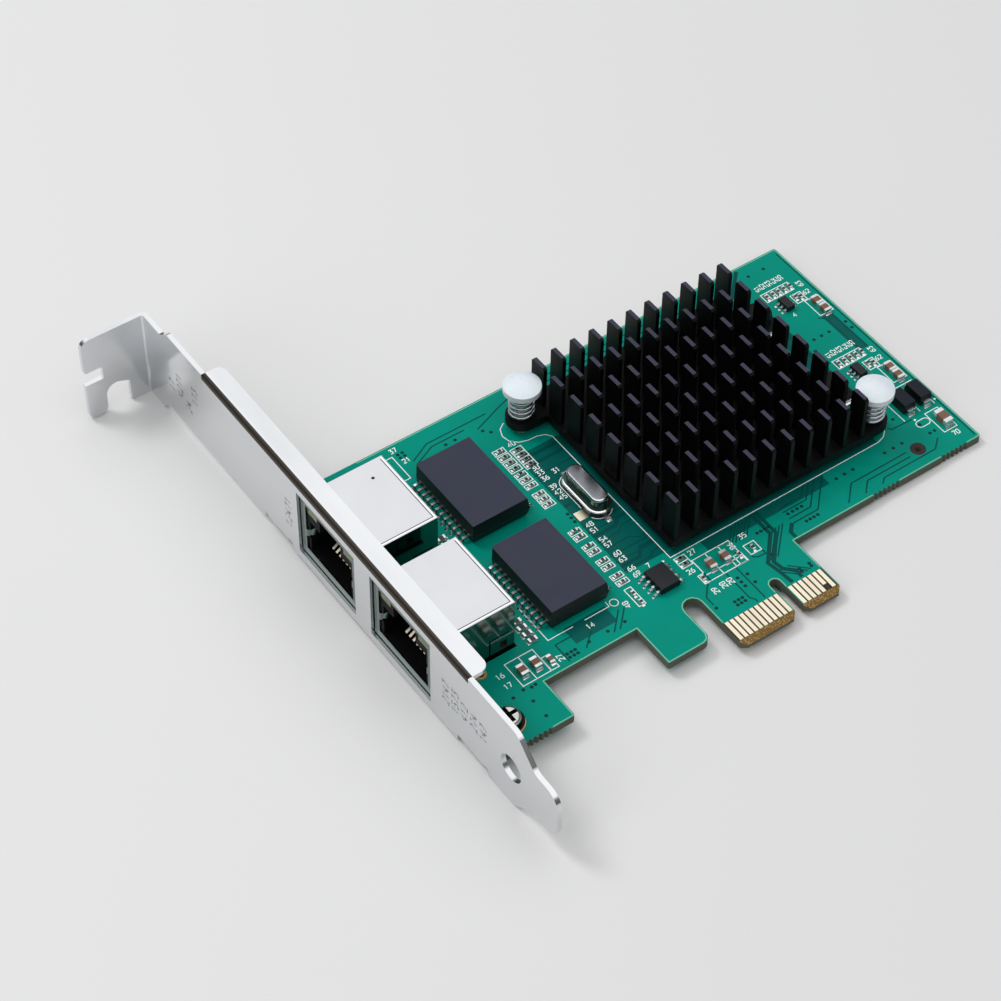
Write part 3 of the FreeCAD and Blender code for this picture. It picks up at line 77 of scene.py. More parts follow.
def linear(code: str) -> Box:
    """Turns an sRGB hex colour into linear light, by the sRGB standard's curve.

    Args:
        code: six hex digits after a hash sign.

    Returns:
        Red, green and blue in linear light, and an alpha of one.
    """
    channels = [int(code[i:i + 2], 16) / 255 for i in (1, 3, 5)]
    light = [c / 12.92 if c <= 0.04045 else ((c + 0.055) / 1.055) ** 2.4 for c in channels]
    return light[0], light[1], light[2], 1.0


@dataclass
class Nodes:
    """A node tree that is being built."""

    tree: bpy.types.NodeTree

    def feed(self, node: bpy.types.Node, inputs: dict) -> None:
        """Sets inputs of a node: a socket is linked, and anything else becomes the value.

        Args:
            node: the node to feed.
            inputs: input name or number to a value, a hex colour or a socket.
        """
        for name, value in inputs.items():
            if isinstance(value, Socket):
                self.tree.links.new(value, node.inputs[name])
            else:
                node.inputs[name].default_value = linear(value) if isinstance(value, str) else value

    def add(self, kind: str, inputs: dict | None = None, output: str | int = 0, **settings: object) -> Socket:
        """Adds one shader node.

        Args:
            kind: the node's type name without its ShaderNode prefix.
            inputs: input name or number to a value, a hex colour or a socket.
            output: name or number of the output that is used.
            settings: properties of the node itself.

        Returns:
            The output.
        """
        node = self.tree.nodes.new("ShaderNode" + kind)
        for name, value in settings.items():
            setattr(node, name, value)
        self.feed(node, inputs or {})
        return node.outputs[output]

    def above(self, axis: str, level_mm: float) -> Socket:
        """Gives one where the place along an axis is above a level, and nothing below it."""
        part = self.add("SeparateXYZ", {0: self.add("TexCoord", output="Object")}, axis)
        return self.add("Math", {0: part, 1: level_mm * MM}, operation="GREATER_THAN")

    def level_share(self, both_ways: bool = False) -> Socket:
        """Gives one on faces that look up along Z and nothing on side faces.

        Args:
            both_ways: True to count faces that look down too.

        Returns:
            The share.
        """
        rise = self.add("SeparateXYZ", {0: self.add("NewGeometry", output="True Normal")}, "Z")
        if both_ways:
            rise = self.add("Math", {0: rise}, operation="ABSOLUTE")
        return self.add("Math", {0: rise, 1: LEVEL}, operation="GREATER_THAN")


def make_piece(name: str, shape: Mesh, finish: Finish, smooth: bool = False) -> None:
    """Makes a mesh object from whole arrays, dresses it and lets it ride on the card.

    Args:
        name: the piece's name.
        shape: n by 3 vertices in millimetres, and m by 3 or 4 vertex numbers of the faces,
            counter-clockwise seen from outside.
        finish: the finish of the whole piece.
        smooth: True for smooth shading.
    """
    vertices, faces = shape
    mesh = bpy.data.meshes.new(name)
    mesh.vertices.add(len(vertices))
    mesh.vertices.foreach_set("co", (vertices * MM).astype(np.float32).ravel())
    mesh.loops.add(faces.size)
    mesh.loops.foreach_set("vertex_index", faces.astype(np.int32).ravel())
    mesh.polygons.add(len(faces))
    mesh.polygons.foreach_set("loop_start", np.arange(0, faces.size, faces.shape[1], dtype=np.int32))
    mesh.polygons.foreach_set("use_smooth", np.full(len(faces), smooth))
    mesh.update(calc_edges=True)
    mesh.validate()
    mesh.materials.append(finish.material())
    piece = bpy.data.objects.new(name, mesh)
    bpy.context.scene.collection.objects.link(piece)
    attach(piece, "root")
    LOG.info("made %s with %d faces", name, len(faces))


def grid_faces(rows: int, columns: int, copies: int, closed: bool) -> np.ndarray:
    """Numbers the quads of like grids of points that follow one another in an array.

    Args:
        rows: points along the first parameter.
        columns: points along the second parameter.
        copies: how many like grids there are.
        closed: True where the last column joins the first.

    Returns:
        Quads as vertex numbers: each joins point (i, j) with its next neighbours both ways.
    """
    i, j = np.meshgrid(np.arange(rows - 1), np.arange(columns if closed else columns - 1), indexing="ij")
    following = (j + 1) % columns
    quads = np.stack([i * columns + j, i * columns + following, (i + 1) * columns + following,
                      (i + 1) * columns + j], axis=-1).reshape(-1, 4)
    return (quads[None] + (np.arange(copies) * rows * columns)[:, None, None]).reshape(-1, 4)


def turned_shapes(profile: Line, centres: list, segments: int) -> Mesh:
    """Turns one profile about Z at many places.

    Point (i, j) of a copy is its centre plus (r_i cos a_j, r_i sin a_j, h_i), with a_j evenly
    spaced round the circle.

    Args:
        profile: radius and height of each point, from the outside in for an upward face.
        centres: the places, each (x, y, z).
        segments: steps round the circle.

    Returns:
        The vertices and the quads.
    """
    points, middle = np.array(profile, float), np.array(centres, float)
    angle = np.linspace(0, 2 * math.pi, segments, endpoint=False)
    ring = np.stack([np.cos(angle), np.sin(angle)], axis=-1)
    flat = points[:, None, :1] * ring[None]
    height = np.broadcast_to(points[:, None, 1:], flat.shape[:2] + (1,))
    shape = np.concatenate([flat, height], axis=-1).reshape(-1, 3)
    vertices = (middle[:, None, :] + shape[None]).reshape(-1, 3)
    return vertices, grid_faces(len(points), segments, len(middle), True)


def flat_strips(lines: list, width: float, height: float) -> Mesh:
    """Draws lines of one width on a level plane.

    Each line's two edges are its points moved half the width along the corner's mitre, which is
    the sum of the two neighbouring normals over one plus their product.

    Args:
        lines: each a row of (x, y) points.
        width: the drawn width.
        height: the plane's z.

    Returns:
        The vertices and the quads, facing up.
    """
    parts = []
    for line in lines:
        points = np.asarray(line, float)
        runs = np.diff(points, axis=0)
        runs /= np.maximum(np.linalg.norm(runs, axis=1, keepdims=True), 1e-9)
        normals = np.stack([-runs[:, 1], runs[:, 0]], axis=-1)
        before, after = np.vstack([normals[:1], normals]), np.vstack([normals, normals[-1:]])
        mitre = (before + after) / np.maximum(1 + (before * after).sum(1, keepdims=True), MITRE_LIMIT)
        sides = np.stack([points + mitre * width / 2, points - mitre * width / 2], axis=1).reshape(-1, 2)
        k = np.arange(len(points) - 1) * 2
        parts.append((np.hstack([sides, np.full((len(sides), 1), height)]),
                      np.stack([k + 1, k + 3, k + 2, k], axis=-1)))
    return join(*parts)


def join(*parts: Mesh) -> Mesh:
    """Puts several pairs of vertices and faces into one pair.

    Args:
        parts: the pairs.

    Returns:
        All vertices, and all faces with their vertex numbers shifted.
    """
    starts = np.cumsum([0] + [len(vertices) for vertices, _ in parts[:-1]])
    return (np.vstack([vertices for vertices, _ in parts]),
            np.vstack([faces + start for (_, faces), start in zip(parts, starts)]))


def lifted(shape: Mesh, height: float) -> Mesh:
    """Moves a shape up by a height."""
    return shape[0] + (0.0, 0.0, height), shape[1]


# ---- Finishes


@dataclass(frozen=True)
class Finish:
    """A finish with one colour that drifts a little, its gloss and its fine relief.

    The colour and the gloss follow one smooth noise, and the relief a second, finer one.
    """

    name: str
    colour: str
    other_colour: str
    roughness: float
    metallic: float = 0.0
    ior: float = 1.5
    specular: float = 0.5
    drift_mm: float = 6.0
    gloss_drift: float = 0.06
    grain_mm: float = 0.3
    relief_mm: float = 0.004
    stretch: Triple = (1.0, 1.0, 1.0)

    def material(self) -> bpy.types.Material:
        """Returns the material, made at its first use."""
        return bpy.data.materials.get(self.name) or self.build()

    def build(self) -> bpy.types.Material:
        """Makes the material's nodes.

        Returns:
            The new material.
        """
        material = bpy.data.materials.new(self.name)
        material.use_nodes = True
        nodes = Nodes(material.node_tree)
        place = nodes.add("TexCoord", output="Object")
        place = nodes.add("Mapping", {"Vector": place, "Scale": self.stretch})
        drift, grain = [
            nodes.add("TexNoise", {"Vector": place, "Scale": 1 / (size * MM), "Detail": detail}, "Fac")
            for size, detail in ((self.drift_mm, 3.0), (self.grain_mm, 2.0))]
        gloss = nodes.add("MapRange", {
            "Value": drift, "From Min": NOISE_SPAN[0], "From Max": NOISE_SPAN[1],
            "To Min": self.roughness - self.gloss_drift, "To Max": self.roughness + self.gloss_drift})
        relief = nodes.add("Bump", {"Height": grain, "Strength": 1.0, "Distance": self.relief_mm * MM})
        nodes.feed(nodes.tree.nodes["Principled BSDF"], {
            "Base Color": self.colour_socket(nodes, drift), "Roughness": self.gloss_socket(nodes, gloss),
            "Normal": relief, "Metallic": self.metallic, "IOR": self.ior, "Specular IOR Level": self.specular,
            **self.further_inputs()})
        return material

    def colour_socket(self, nodes: Nodes, drift: Socket) -> Socket:
        """Mixes the two colours by the drift noise; a finish with zones adds to it."""
        ends = {0: drift, MIX_A: self.colour, MIX_B: self.other_colour}
        return nodes.add("Mix", ends, MIX_RESULT, data_type="RGBA")

    def gloss_socket(self, nodes: Nodes, gloss: Socket) -> Socket:
        """Returns the roughness as it comes; a finish with two zones changes it."""
        return gloss

    def further_inputs(self) -> dict[str, float]:
        """Returns further inputs of the shader; the plain finish has none."""
        return {}


@dataclass(frozen=True)
class MaskedLaminate(Finish):
    """Glass-epoxy laminate under green solder mask: glossy green faces, brown cut edges.

    The mask pools and thins a little, the cut edge shows the layers of glass, and the tip of the
    tongue below the contacts is bare amber laminate with pale weave spots.
    """

    edge_colour: str = "#4e4f49"
    edge_pale: str = "#6b6a5c"
    edge_roughness: float = 0.7
    layer_mm: float = 0.2
    layer_stretch: Triple = (0.5, 0.5, 2.0)
    tip_colour: str = "#755b33"
    tip_pale: str = "#a68a59"
    tip_mm: float = 1.25
    weave_mm: float = 0.35
    weave_span: Pair = (0.2, 0.5)

    def colour_socket(self, nodes: Nodes, drift: Socket) -> Socket:
        """Green on the two faces, layered grey brown on the edges and amber at the tongue's tip.

        Args:
            nodes: the material's nodes.
            drift: the smooth noise.

        Returns:
            The colour.
        """
        place = nodes.add("TexCoord", output="Object")
        weave = nodes.add("TexVoronoi", {"Vector": place, "Scale": 1 / (self.weave_mm * MM)}, "Distance")
        low, high = self.weave_span
        spots = nodes.add("MapRange", {"Value": weave, "From Min": low, "From Max": high})
        amber = nodes.add("Mix", {0: spots, MIX_A: self.tip_pale, MIX_B: self.tip_colour},
                          MIX_RESULT, data_type="RGBA")
        green = super().colour_socket(nodes, drift)
        mask = nodes.add("Mix", {0: nodes.above("Y", self.tip_mm), MIX_A: amber, MIX_B: green},
                         MIX_RESULT, data_type="RGBA")
        flat = nodes.add("Mapping", {"Vector": place, "Scale": self.layer_stretch})
        layers = nodes.add(
            "TexNoise", {"Vector": flat, "Scale": 1 / (self.layer_mm * MM), "Detail": 1.0}, "Fac")
        edge = nodes.add("Mix", {0: layers, MIX_A: self.edge_colour, MIX_B: self.edge_pale},
                         MIX_RESULT, data_type="RGBA")
        return nodes.add("Mix", {0: nodes.level_share(both_ways=True), MIX_A: edge, MIX_B: mask},
                         MIX_RESULT, data_type="RGBA")

    def gloss_socket(self, nodes: Nodes, gloss: Socket) -> Socket:
        """Keeps the mask glossy and makes the cut edge matte."""
        share = nodes.level_share(both_ways=True)
        return nodes.add("Mix", {0: share, VALUE_A: self.edge_roughness, VALUE_B: gloss}, data_type="FLOAT")


@dataclass(frozen=True)
class TwoTone(Finish):
    """A body whose upward faces above a height differ from the rest of it. On some finishes the difference is
    painted light: a painted highlight on the heatsink's fin tops, painted shade on the gull-wing leads'
    slopes and a painted reflection on the jack shells' sides.
    """

    # The sides' colour: a real colour on some finishes, painted shade on the gull-wing leads and a painted
    # reflection on the jack shells
    side_colour_and_shade: str = "#101010"
    top_from_mm: float = 0.0

    def colour_socket(self, nodes: Nodes, drift: Socket) -> Socket:
        """The drifting colour on top, and the plain side colour elsewhere, which is painted shade on the
        gull-wing leads and a painted reflection on the jack shells.

        Args:
            nodes: the material's nodes.
            drift: the smooth noise.

        Returns:
            The colour.
        """
        tests = {0: nodes.above("Z", self.top_from_mm), 1: nodes.level_share()}
        share = nodes.add("Math", tests, operation="MULTIPLY")
        top = super().colour_socket(nodes, drift)
        return nodes.add("Mix", {0: share, MIX_A: self.side_colour_and_shade, MIX_B: top}, MIX_RESULT, data_type="RGBA")


@dataclass(frozen=True)
class Translucent(Finish):
    """A moulded plastic that lets some light in below its surface."""

    depth_mm: float = 1.0
    share: float = 0.3

    def further_inputs(self) -> dict[str, float]:
        """Lets light travel a short way under the surface."""
        return {"Subsurface Weight": self.share, "Subsurface Scale": self.depth_mm * MM}


@dataclass(frozen=True)
class CanWithPaintedLight(Finish):
    """A drawn can with a dull flat top, a painted highlight on its rounded edge and a painted dark reflection
    on its wall and flange.
    """

    # Painted highlight on the rounded edge, and a painted dark reflection of the green board on the wall and
    # the flange
    edge_colour: str = "#eceef0"
    wall_reflection_colour: str = "#6a7a74"
    flange_reflection_colour: str = "#50655c"
    flange_top_mm: float = 1.31
    wall_top_mm: float = 3.1

    def colour_socket(self, nodes: Nodes, drift: Socket) -> Socket:
        """The drifting colour on top, a painted highlight round it, and darker painted reflections on the
        wall and the flange.

        Args:
            nodes: the material's nodes.
            drift: the smooth noise.

        Returns:
            The colour.
        """
        cup = super().colour_socket(nodes, drift)
        for share, lower in ((nodes.level_share(), self.edge_colour),
                             (nodes.above("Z", self.wall_top_mm), self.wall_reflection_colour),
                             (nodes.above("Z", self.flange_top_mm), self.flange_reflection_colour)):
            cup = nodes.add("Mix", {0: share, MIX_A: lower, MIX_B: cup}, MIX_RESULT, data_type="RGBA")
        return cup


@dataclass(frozen=True)
class FlangedHead(Finish):
    """A screw head whose wall above the flange and whose recess floor are darkened with painted shade."""

    shade_colour: str = "#1c1b1a"
    shade_mm: Pair = (0.5, 1.25)

    def colour_socket(self, nodes: Nodes, drift: Socket) -> Socket:
        """Painted shade between the two heights, the bright plating elsewhere.

        Args:
            nodes: the material's nodes.
            drift: the smooth noise.

        Returns:
            The colour.
        """
        low, high = self.shade_mm
        height = nodes.add("SeparateXYZ", {0: nodes.add("TexCoord", output="Object")}, "Z")
        span = {1: (low + high) / 2 * MM, 2: (high - low) / 2 * MM}
        shaded = nodes.add("Math", {0: height, **span}, operation="COMPARE")
        bright = super().colour_socket(nodes, drift)
        return nodes.add("Mix", {0: shaded, MIX_A: bright, MIX_B: self.shade_colour}, MIX_RESULT,
                         data_type="RGBA")


@dataclass(frozen=True)
class SheetWithPaintedFoldShade(Finish):
    """Plated sheet with painted shade on the outside of its long fold, which is also duller there."""

    # Painted shade: the dark band that the fold's reflection shows
    bend_shade_colour: str = "#5a544e"
    bend_roughness: float = 0.4
    left_of_bend_mm: float = -58.5
    # The fold's normal: middle and half width of its z, and the most that its x is
    bend_z: Pair = (0.56, 0.38)
    bend_x: float = -0.2

    def on_bend(self, nodes: Nodes) -> Socket:
        """Gives one where a face of the plate looks up and out along -X at once, which only the fold does.

        Args:
            nodes: the material's nodes.

        Returns:
            The share.
        """
        parts = nodes.add("SeparateXYZ", {0: nodes.add("NewGeometry", output="True Normal")}).node.outputs
        middle, half = self.bend_z
        tilted = nodes.add("Math", {0: parts["Z"], 1: middle, 2: half}, operation="COMPARE")
        outward = nodes.add("Math", {0: parts["X"], 1: self.bend_x}, operation="LESS_THAN")
        folded = nodes.add("Math", {0: tilted, 1: outward}, operation="MULTIPLY")
        on_plate = nodes.above("X", self.left_of_bend_mm)
        return nodes.add("Math", {0: folded, 1: on_plate}, operation="MULTIPLY")

    def colour_socket(self, nodes: Nodes, drift: Socket) -> Socket:
        """The drifting colour, and the painted shade on the fold."""
        ends = {0: self.on_bend(nodes), MIX_A: super().colour_socket(nodes, drift), MIX_B: self.bend_shade_colour}
        return nodes.add("Mix", ends, MIX_RESULT, data_type="RGBA")

    def gloss_socket(self, nodes: Nodes, gloss: Socket) -> Socket:
        """Makes the fold duller than the sheet."""
        ends = {0: self.on_bend(nodes), VALUE_A: gloss, VALUE_B: self.bend_roughness}
        return nodes.add("Mix", ends, data_type="FLOAT")


class Palette:
    """Every finish of the card, named for the real material and how it was made."""

    # Green epoxy solder mask on FR4: deep teal green, glossy like wet paint over the weave
    board = MaskedLaminate(
        "solder_mask_on_fr4", "#00806f", "#008d7c", 0.35, specular=0.05, drift_mm=9.0, grain_mm=0.6)
    # Mask in the gap between two areas of copper: darker and bluer
    trace = Finish(
        "gap_between_copper", "#00423f", "#004b47", 0.35, specular=0.08, drift_mm=5.0, relief_mm=0.001)
    # Mask over the bare core, where no copper lies beneath: a darker teal, also laid as painted shade on the
    # board along the heatsink's edges
    core_and_shade = Finish(
        "mask_over_bare_core_and_painted_shade", "#004f4b", "#005a54", 0.35, specular=0.08, drift_mm=4.0, relief_mm=0.001)
    # Copper's edge under thin mask, painted as a pale green highlight line
    copper_edge_highlight = Finish(
        "copper_edge_painted_highlight", "#8cc4a4", "#6fb08f", 0.35, specular=0.3, drift_mm=4.0, relief_mm=0.001)
    # Tented hole: a dark dimple in the mask
    via = Finish("tented_via", "#00302d", "#003a36", 0.35, specular=0.1, drift_mm=2.0, relief_mm=0.001)
    # Uncovered laminate between the contact fingers, darkened with painted shade to a dark olive brown, dull
    shaded_bare_laminate = Finish("uncovered_laminate_painted_shade", "#2b2014", "#3a2b1a", 0.6, drift_mm=1.5, grain_mm=0.2)
    # Epoxy ink printed through a screen: flat white with a faint uneven cover
    ink = Finish(
        "white_screen_ink", "#eef4f2", "#e2ebe8", 0.6, specular=0.2, drift_mm=1.0, grain_mm=0.12,
        relief_mm=0.003)
    # Hard gold over nickel: warm, satin, rubbed along the way in
    gold = Finish(
        "hard_gold_plating", "#f4ecd8", "#e8dcc0", 0.3, metallic=1.0, drift_mm=3.0, grain_mm=0.15,
        relief_mm=0.002, stretch=(1.0, 0.15, 1.0))
    # Immersion gold round the screw holes: more orange and duller
    ring_gold = Finish("immersion_gold", "#e0aa66", "#c88f4c", 0.42, metallic=1.0, drift_mm=1.0)
    # Nickel-plated cold-rolled steel: satin, rolled along the bracket, cloudy plating, with painted shade on
    # the outside of the fold
    bracket = SheetWithPaintedFoldShade(
        "nickel_plated_steel_sheet_painted_fold_shade", "#e4e6e8", "#d8dadd", 0.2, metallic=1.0, drift_mm=12.0,
        stretch=(1.0, 0.3, 1.0))
    # Nickel-plated machine screw: bright, turned, with a band of painted shade on the head
    screw = FlangedHead(
        "nickel_plated_screw_painted_shade", "#d6d4d0", "#bdb9b3", 0.2, metallic=1.0, drift_mm=1.5, grain_mm=0.2,
        relief_mm=0.003)
    # Tin-nickel plated brass shell: pale, nearly white satin, with a painted darker green-grey reflection on
    # its side faces
    shell = TwoTone(
        "plated_drawn_shell_painted_side_reflection", "#d4d5d8", "#cbccd0", 0.1, metallic=1.0, drift_mm=8.0, gloss_drift=0.04,
        grain_mm=0.4, relief_mm=0.0015, side_colour_and_shade="#6f7d79")
    # Folded seam of the shell: a dark slit
    seam = Finish("folded_seam", "#101112", "#18191b", 0.6, drift_mm=1.0, relief_mm=0.001)
    # Sheared edge of the shell: burnished bright
    sheared = Finish(
        "sheared_shell_edge", "#ffffff", "#f4f5f7", 0.12, metallic=1.0, drift_mm=2.0, relief_mm=0.001)
    # Glass-filled polyester moulding: black with a dull even grain
    moulding = Finish(
        "black_polyester_moulding", "#030304", "#060607", 0.6, specular=0.15, drift_mm=2.0, grain_mm=0.15,
        relief_mm=0.006)
    # Clear tinted polycarbonate light window, unlit
    light = Translucent(
        "tinted_polycarbonate", "#68742c", "#4c5720", 0.12, ior=1.58, drift_mm=1.0, relief_mm=0.001,
        share=0.15)
    # Phosphor bronze wire with a gold flash: pale gold, drawn smooth and bright
    wire = Finish(
        "gold_flashed_spring_wire", "#f2ead6", "#e4d8bc", 0.2, metallic=1.0, drift_mm=1.0, relief_mm=0.001)
    # Moulded epoxy package, spark-eroded mould: blue-black top, black sides
    package = TwoTone(
        "moulded_epoxy_package", "#1c2032", "#242840", 0.5, drift_mm=5.0, grain_mm=0.12, relief_mm=0.008,
        side_colour_and_shade="#08090c")
    # Matte epoxy of the small packages: black, less blue
    small_package = TwoTone(
        "small_moulded_package", "#17181d", "#1e1f26", 0.5, specular=0.35, drift_mm=2.0, grain_mm=0.12,
        relief_mm=0.006, side_colour_and_shade="#08090b")
    # Diode moulding: the same epoxy, bluer and a little worn
    diode_package = TwoTone(
        "diode_moulding", "#0e121c", "#141927", 0.5, specular=0.25, drift_mm=2.0, grain_mm=0.12,
        relief_mm=0.006, side_colour_and_shade="#08090b")
    # Drilled hole's rim without mask: burnt brown laminate
    drilled_rim = Finish("drilled_laminate_rim", "#2c1612", "#20100d", 0.6, drift_mm=0.6, grain_mm=0.15)
    # Matte tin on copper leads and end caps: pale grey, bright but not mirror-like
    tin = Finish("matte_tin_plating", "#e6e7e9", "#d2d3d6", 0.3, metallic=1.0, drift_mm=0.8, grain_mm=0.15)
    # Tin on the small gull-wing leads: bright on the flat feet, with painted shade darkening the steep slopes
    lead_tin_painted_shade = TwoTone(
        "matte_tin_on_gull_wings_painted_shade", "#f2f3f4", "#e0e1e3", 0.3, metallic=1.0, drift_mm=0.8, grain_mm=0.15,
        relief_mm=0.002, side_colour_and_shade="#45484b")
    # Reflowed solder: bright with a slightly frosted skin
    solder = Finish(
        "reflowed_solder", "#ecedee", "#d8dadc", 0.24, metallic=1.0, drift_mm=0.7, grain_mm=0.2,
        relief_mm=0.006)
    # Laminate under the chip, in its own solder mask: dark green, half matte
    substrate = Finish("chip_laminate", "#1d4a35", "#245640", 0.5, drift_mm=2.0)
    # Filled silicone: grey, soft and quite matte
    pad = Finish("silicone_pad", "#85878c", "#75777c", 0.8, drift_mm=2.0, grain_mm=0.4, relief_mm=0.02)
    # Black anodised aluminium, cross-cut and bead-blasted: dead matte black, with a painted cool grey-blue
    # highlight on the fins' tops
    anodised_with_painted_tops = TwoTone(
        "black_anodised_aluminium_painted_top_highlight", "#333344", "#3c3c4d", 0.5, specular=0.2, drift_mm=4.0, grain_mm=0.12,
        relief_mm=0.005, side_colour_and_shade="#030304", top_from_mm=8.0)
    # Natural nylon: milky white, soft gloss, light passes at the edges
    nylon = Translucent(
        "natural_nylon", "#dfe7ed", "#d5dee5", 0.32, ior=1.53, drift_mm=3.0, grain_mm=0.5, depth_mm=1.2,
        share=0.35)
    # Zinc-plated spring steel, drawn: bright cool grey
    spring = Finish(
        "plated_music_wire", "#d6d9dd", "#bfc3c9", 0.22, metallic=1.0, drift_mm=0.6, relief_mm=0.002)
    # Drawn nickel-silver can with a rolled rim: dull grey top, with a painted highlight on the edge and a
    # painted dark reflection on the wall and flange
    can = CanWithPaintedLight(
        "drawn_nickel_silver_painted_light", "#8f9298", "#83868c", 0.22, metallic=1.0, drift_mm=2.5, grain_mm=1.2,
        relief_mm=0.0005)
    # Fired glass seal and insulator: dark brown, softly glossy
    seal = Finish("glass_seal", "#1d1b19", "#26231f", 0.4, drift_mm=1.0)
    # Pressed ferrite: near black with a fine sintered grain
    ferrite = Finish(
        "pressed_ferrite", "#0c0d0e", "#121315", 0.6, specular=0.2, drift_mm=1.5, grain_mm=0.15,
        relief_mm=0.01)
    # Thick-film resistor: black glaze over white alumina
    resistor = TwoTone(
        "glazed_thick_film", "#121214", "#1c1c1f", 0.25, drift_mm=0.5, relief_mm=0.002,
        side_colour_and_shade="#a9a9a4")
    # Fired multilayer ceramic: tan brown, dense and matte
    ceramic = Finish(
        "fired_ceramic", "#7d5c49", "#6c4f3e", 0.42, specular=0.3, drift_mm=0.6, grain_mm=0.12,
        relief_mm=0.003)
    # Painted studio floor: pale grey without any shine
    floor = Finish(
        "pale_studio_floor", "#d8d8d8", "#d6d6d6", 0.8, specular=0.0, drift_mm=200.0, relief_mm=0.001)


class Finishes(Enum):
    """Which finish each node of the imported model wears."""

    BOARD = (Palette.board, ("circuit_board",))
    GOLD = (Palette.gold, ("edge_contacts_front", "edge_contacts_back"))
    RING = (Palette.ring_gold, ("hole_rings",))
    BRACKET = (Palette.bracket, ("io_bracket",))
    SCREW = (Palette.screw, ("bracket_screws",))
    SHELL = (Palette.shell, ("jack_upper_shield", "jack_lower_shield"))
    MOULDING = (Palette.moulding, ("jack_upper_housing", "jack_lower_housing"))
    LIGHT = (Palette.light, ("jack_upper_lights", "jack_lower_lights"))
    WIRE = (Palette.wire, ("jack_upper_contacts", "jack_lower_contacts"))
    PACKAGE = (Palette.package, ("magnetics_upper_case", "magnetics_lower_case"))
    SMALL_PACKAGE = (Palette.small_package, ("memory_chip", "converter_chips", "controller_cap"))
    DIODE_PACKAGE = (Palette.diode_package, ("power_diodes",))
    TIN = (Palette.tin, ("memory_leads", "converter_leads", "diode_terminals", "inductor_terminals",
                         "resistor_end_caps", "capacitor_end_caps", "crystal_leads"))
    LEAD_TIN = (Palette.lead_tin_painted_shade, ("magnetics_upper_leads", "magnetics_lower_leads"))
    SOLDER = (Palette.solder, ("controller_solder_balls",))
    SUBSTRATE = (Palette.substrate, ("controller_substrate",))
    PAD = (Palette.pad, ("thermal_pad",))
    ANODISED = (Palette.anodised_with_painted_tops, ("heatsink",))
    NYLON = (Palette.nylon, ("push_pin_left", "push_pin_right"))
    SPRING = (Palette.spring, ("push_spring_left", "push_spring_right"))
    CAN = (Palette.can, ("crystal_can",))
    SEAL = (Palette.seal, ("crystal_base",))
    FERRITE = (Palette.ferrite, ("inductors",))
    RESISTOR = (Palette.resistor, ("resistor_bodies",))
    CERAMIC = (Palette.ceramic, ("capacitor_bodies",))

    def dress(self, nodes: dict[str, bpy.types.Object]) -> None:
        """Puts the finish on its nodes.

        Args:
            nodes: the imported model's objects by name.
        """
        finish, names = self.value
        for name in names:
            mesh = nodes[name].data
            mesh.materials.clear()
            mesh.materials.append(finish.material())


# ---- Print, copper and solder on the board


DIGIT_STROKES: dict[str, list[Pair]] = {
    "0": [(0.28, 0), (0.1, 0), (0, 0.15), (0, 0.85), (0.1, 1), (0.45, 1), (0.55, 0.85), (0.55, 0.15),
         (0.45, 0), (0.28, 0)],
    "1": [(0.28, 0), (0.28, 1), (0.08, 0.8)],
    "2": [(0, 0.82), (0.1, 1), (0.45, 1), (0.55, 0.85), (0.55, 0.6), (0, 0), (0.55, 0)],
    "3": [(0, 1), (0.55, 1), (0.25, 0.58), (0.5, 0.5), (0.55, 0.15), (0.4, 0), (0, 0)],
    "4": [(0.42, 0), (0.42, 1), (0, 0.32), (0.58, 0.32)],
    "5": [(0.55, 1), (0.05, 1), (0, 0.55), (0.4, 0.55), (0.55, 0.4), (0.55, 0.15), (0.4, 0), (0, 0)],
    "6": [(0.5, 1), (0.15, 0.75), (0, 0.4), (0, 0.12), (0.12, 0), (0.43, 0), (0.55, 0.15), (0.55, 0.4),
         (0.4, 0.53), (0.05, 0.5)],
    "7": [(0, 1), (0.55, 1), (0.2, 0)],
    "8": [(0.27, 0.53), (0, 0.65), (0, 0.88), (0.12, 1), (0.43, 1), (0.55, 0.88), (0.55, 0.65), (0, 0.4),
         (0, 0.12), (0.12, 0), (0.43, 0), (0.55, 0.12), (0.55, 0.4), (0.27, 0.53)],
    "9": [(0.05, 0), (0.4, 0.25), (0.55, 0.6), (0.55, 0.88), (0.43, 1), (0.12, 1), (0, 0.85), (0, 0.6),
         (0.15, 0.47), (0.5, 0.5)],
}
# Step from digit to digit and width of the last one, as shares of the height
DIGIT_ADVANCE, DIGIT_WIDTH = 0.82, 0.55


def digit_lines(text: str, x: float, y: float, height: float, upright: bool = True) -> list:
    """Writes digits as open lines, centred on a point.

    Args:
        text: digits only.
        x: centre of the row.
        y: centre of the row.
        height: height of a digit.
        upright: True to read along X, False to read along Y.

    Returns:
        One line of points per digit.
    """
    advance = DIGIT_ADVANCE * height
    start = -0.5 * (advance * (len(text) - 1) + DIGIT_WIDTH * height)
    rows = []
    for index, digit in enumerate(text):
        strokes = np.array(DIGIT_STROKES[digit]) * height + (start + index * advance, -height / 2)
        if not upright:
            strokes = np.stack([-strokes[:, 1], strokes[:, 0]], axis=-1)
        rows.append(strokes + (x, y))
    return rows


def frame_line(x0: float, y0: float, x1: float, y1: float) -> Line:
    """Returns a closed rectangle's line, started in the middle of a side so that each corner is mitred."""
    return ((x0 + x1) / 2, y0), (x1, y0), (x1, y1), (x0, y1), (x0, y0), ((x0 + x1) / 2, y0)


def arc_line(centre: Pair, radii: Pair, start: float, end: float) -> list:
    """Samples an arc: centre plus (rx cos a, ry sin a), with a even from start to end in degrees."""
    angle = np.radians(np.linspace(start, end, ARC_POINTS))
    return (np.stack([np.cos(angle), np.sin(angle)], axis=-1) * radii + centre).tolist()


